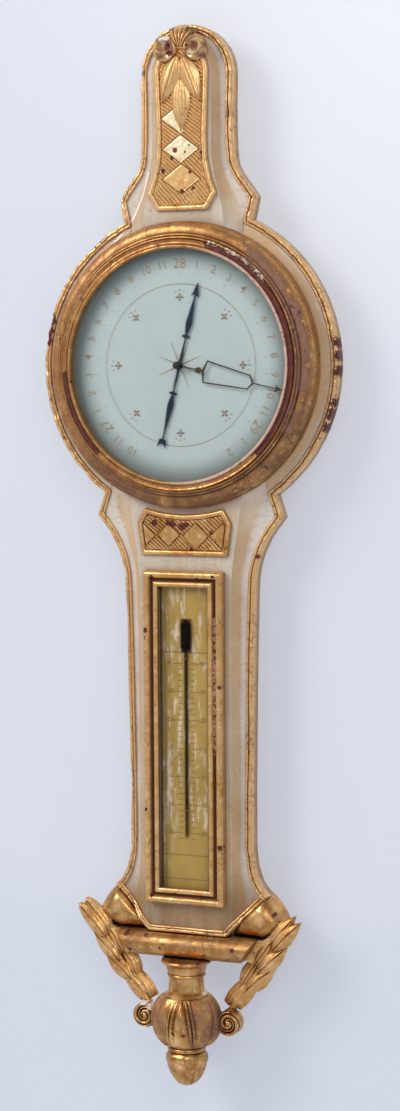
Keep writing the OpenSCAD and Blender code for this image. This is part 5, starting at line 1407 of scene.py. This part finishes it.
def figure(text, height):
    """Points (across, up) and faces of a number in the plain built-in letter, thin as ink."""
    letters = bpy.data.curves.new("figure", "FONT")
    letters.body = text
    letters.size = height * 1.38
    letters.offset = 0.012 * height
    letters.align_x = "CENTER"
    letters.align_y = "CENTER"
    letters.resolution_u = 3
    shown = bpy.data.objects.new("figure", letters)
    flat = bpy.data.meshes.new_from_object(shown)
    points = [(p.co.x, p.co.y) for p in flat.vertices]
    faces = [tuple(q.vertices) for q in flat.polygons]
    bpy.data.objects.remove(shown)
    bpy.data.curves.remove(letters)
    bpy.data.meshes.remove(flat)
    return points, faces


def printed(text, height, angle=0, radius=0, f=DIAL_F):
    """A number lying at the depth f, its foot towards the middle of the dial."""
    points, faces = figure(text, height)
    out, along = spoke(angle)
    placed = [out * (radius + v) + along * u for u, v in points]
    n = len(placed)
    solid = [(q[0], f + INK_T, q[1]) for q in placed] + [(q[0], f, q[1]) for q in placed]
    edges = {}
    for face in faces:
        for i, j in zip(face, face[1:] + face[:1]):
            edges[(i, j)] = (j, i) not in edges
            if (j, i) in edges:
                edges[(j, i)] = edges[(i, j)] = False
    sides = [(i, j, n + j, n + i) for (i, j), open_side in edges.items() if open_side]
    return solid, faces + [tuple(n + i for i in reversed(face)) for face in faces] + sides


# Inches in large figures and lines between them in small ones, round from 28 at the top
numbers = []
for line in range(-14, 15):
    inch = line % 12 == 0
    text = str(28 + line // 12) if inch else str(line % 12)
    numbers.append(printed(text, 9.6 if inch else 7.8, line * LINE_TURN, 94.0))
piece("dial_numbers", *joined(*numbers), INK, slot="dial_paper")

# The thermometer's scale

LINE_W, SCALE_HALF, DEGREE_H, SCALE_TOP = 0.7, 24.6, 5.4, -280


def scale_bar(x0, x1, z0, z1):
    """A bar of ink on the thermometer's scale."""
    return prism([(x0, z0), (x1, z0), (x1, z1), (x0, z1)], SCALE_F, SCALE_F + INK_T)


scale_marks = [scale_bar(-SCALE_HALF, SCALE_HALF, z, z - LINE_W) for z in (-269.5, -463, -486)]
scale_marks += [scale_bar(x, x + 0.6, -210, -500) for x in (-21.5, 21.0)]
for k in range(32):
    z = SCALE_TOP - DEGREE_H * k
    for side in (-1, 1):
        scale_marks.append(scale_bar(side * 4.0, side * (8.5 if k % 5 else 13.5), z, z - LINE_W))
for k in range(7):
    for side in (-1, 1):
        points, faces = printed(str(10 * abs(k - 4)), 4.2, f=SCALE_F)
        beside, z0 = side * 16.6, SCALE_TOP - 5 * DEGREE_H * k
        scale_marks.append(([(x + beside, f, z + z0) for x, f, z in points], faces))
piece("scale_marks", *joined(*scale_marks), SCALE_INK, slot="scale_paint")

# The camera

CAMERA_AT = (0.872, -2.082, -0.288)
YAW, PITCH, ROLL = math.radians(22.66), math.radians(-4.4), math.radians(-0.35)
forward = Vector((-math.sin(YAW) * math.cos(PITCH), math.cos(YAW) * math.cos(PITCH), math.sin(PITCH)))
level = Vector((math.cos(YAW), math.sin(YAW), 0))
upright = level.cross(forward)
right = level * math.cos(ROLL) + upright * math.sin(ROLL)
up = -level * math.sin(ROLL) + upright * math.cos(ROLL)
camera_data = bpy.data.cameras.new("camera")
camera = bpy.data.objects.new("camera", camera_data)
bpy.context.scene.collection.objects.link(camera)
camera.matrix_world = Matrix(
    (
        (right.x, up.x, -forward.x, CAMERA_AT[0]),
        (right.y, up.y, -forward.y, CAMERA_AT[1]),
        (right.z, up.z, -forward.z, CAMERA_AT[2]),
        (0, 0, 0, 1),
    )
)
camera_data.sensor_width = 36
camera_data.lens = 77.15
camera_data.clip_start = 0.05
camera_data.clip_end = 60
bpy.context.scene.camera = camera

# Wall, floor, lamps and world


def wall_tone(tree, place):
    """A painted pool of light behind the neck's right side, and a little greyer low down."""
    far = add(tree, "VectorMath DISTANCE", (place, (0.30, 0.02, 0.10)), 1)
    # Painted pool of light on the wall
    lit = add(tree, "MapRange", (far, 0.05, 0.62, 1.0, 0.0), interpolation_type="SMOOTHSTEP")
    low = add(tree, "MapRange", (add(tree, "SeparateXYZ", (place,), "Z"), -0.83, -0.79, 1.0, 0.0))
    return layered(tree, "#D9DDE8", (lit, "#FBFCFF"), (low, "#CFD5E3"))


def backdrop_paint():
    """A pale blue-grey studio wall, seen only from the object's side, so that views from behind stay open."""
    finish, tree, shader, place = new_finish("studio_wall_paint")
    cloud = patches(tree, place, 900, 0.3, 0.75, 2.0, 0.5)
    feed(tree, shader, {"Base Color": layered(tree, "#E2E6F0", (cloud, "#D8DDE8")), "Roughness": 0.9})
    # Half of what the eye sees of it is a painted glow of its own, an even paleness, so the shadow on it
    # stays soft
    looked_at = 0.0
    for kind in ("Camera", "Glossy", "Transmission"):
        ray = add(tree, "LightPath", out="Is " + kind + " Ray")
        looked_at = add(tree, "Math MAXIMUM", (looked_at, ray))
    share = add(tree, "Math MULTIPLY", (looked_at, 0.55))
    painted_glow = add(tree, "Emission", {"Color": wall_tone(tree, place), "Strength": 1.0})
    even = add(tree, "MixShader", {0: share, 1: shader.outputs[0], 2: painted_glow})
    clear = add(tree, "BsdfTransparent")
    side = add(tree, "NewGeometry", out="Backfacing")
    both = add(tree, "MixShader", {0: side, 1: even, 2: clear})
    tree.links.new(both, tree.nodes["Material Output"].inputs["Surface"])
    return finish


def plane(name, corners, finish):
    """A flat part of the studio."""
    mesh = bpy.data.meshes.new(name)
    mesh.from_pydata(corners, [], [(0, 1, 2, 3)])
    mesh.materials.append(finish)
    made = bpy.data.objects.new(name, mesh)
    bpy.context.scene.collection.objects.link(made)
    return made


WALL = backdrop_paint()
wall = plane("studio_wall", [(-6, 0.02, -1.1), (6, 0.02, -1.1), (6, 0.02, 4), (-6, 0.02, 4)], WALL)
wall.visible_diffuse = False
wall.visible_shadow = False
plane("studio_floor", [(-6, 6, -1.1), (-6, -6, -1.1), (6, -6, -1.1), (6, 6, -1.1)], WALL)

world = bpy.data.worlds.new("studio")
bpy.context.scene.world = world
world.use_nodes = True
sky = world.node_tree
camera_ray, through_glass, mirrored_ray = (
    add(sky, "LightPath", out="Is " + kind + " Ray") for kind in ("Camera", "Transmission", "Glossy")
)
seen = add(sky, "Math MAXIMUM", (camera_ray, through_glass))
open_sky = add(sky, "MapRange", (seen, 0.0, 1.0, 0.5, 0.8))
# The gilding mirrors a dimmer sky than the one that lights it
dimmer = add(sky, "Math MULTIPLY", (mirrored_ray, -0.14))
strength = add(sky, "Math ADD", (open_sky, dimmer))
feed(sky, sky.nodes["Background"], {"Color": "#EEF1F8", "Strength": strength})


def lamp(name, place, aim, size, power, colour):
    """A rectangular lamp at place that shines towards aim."""
    data = bpy.data.lights.new(name, "AREA")
    data.shape = "RECTANGLE"
    data.size, data.size_y = size
    data.energy = power
    data.color = linear(colour)[:3]
    made = bpy.data.objects.new(name, data)
    made.location = place
    made.rotation_mode = "QUATERNION"
    made.rotation_quaternion = (Vector(aim) - Vector(place)).to_track_quat("-Z", "Y")
    bpy.context.scene.collection.objects.link(made)


lamp("window_left", (-1.7, -2.0, 1.3), (0, 0, -0.25), (1.3, 1.6), 56, "#FFFAF2")
lamp("soft_front", (1.7, -2.7, 1.1), (0, 0, -0.25), (1.6, 1.6), 27, "#FAFAFF")
lamp("soft_back", (0.6, 2.4, 0.8), (0, 0, -0.3), (1.6, 1.6), 26, "#FFFFFF")

bpy.context.scene.view_settings.view_transform = "Standard"
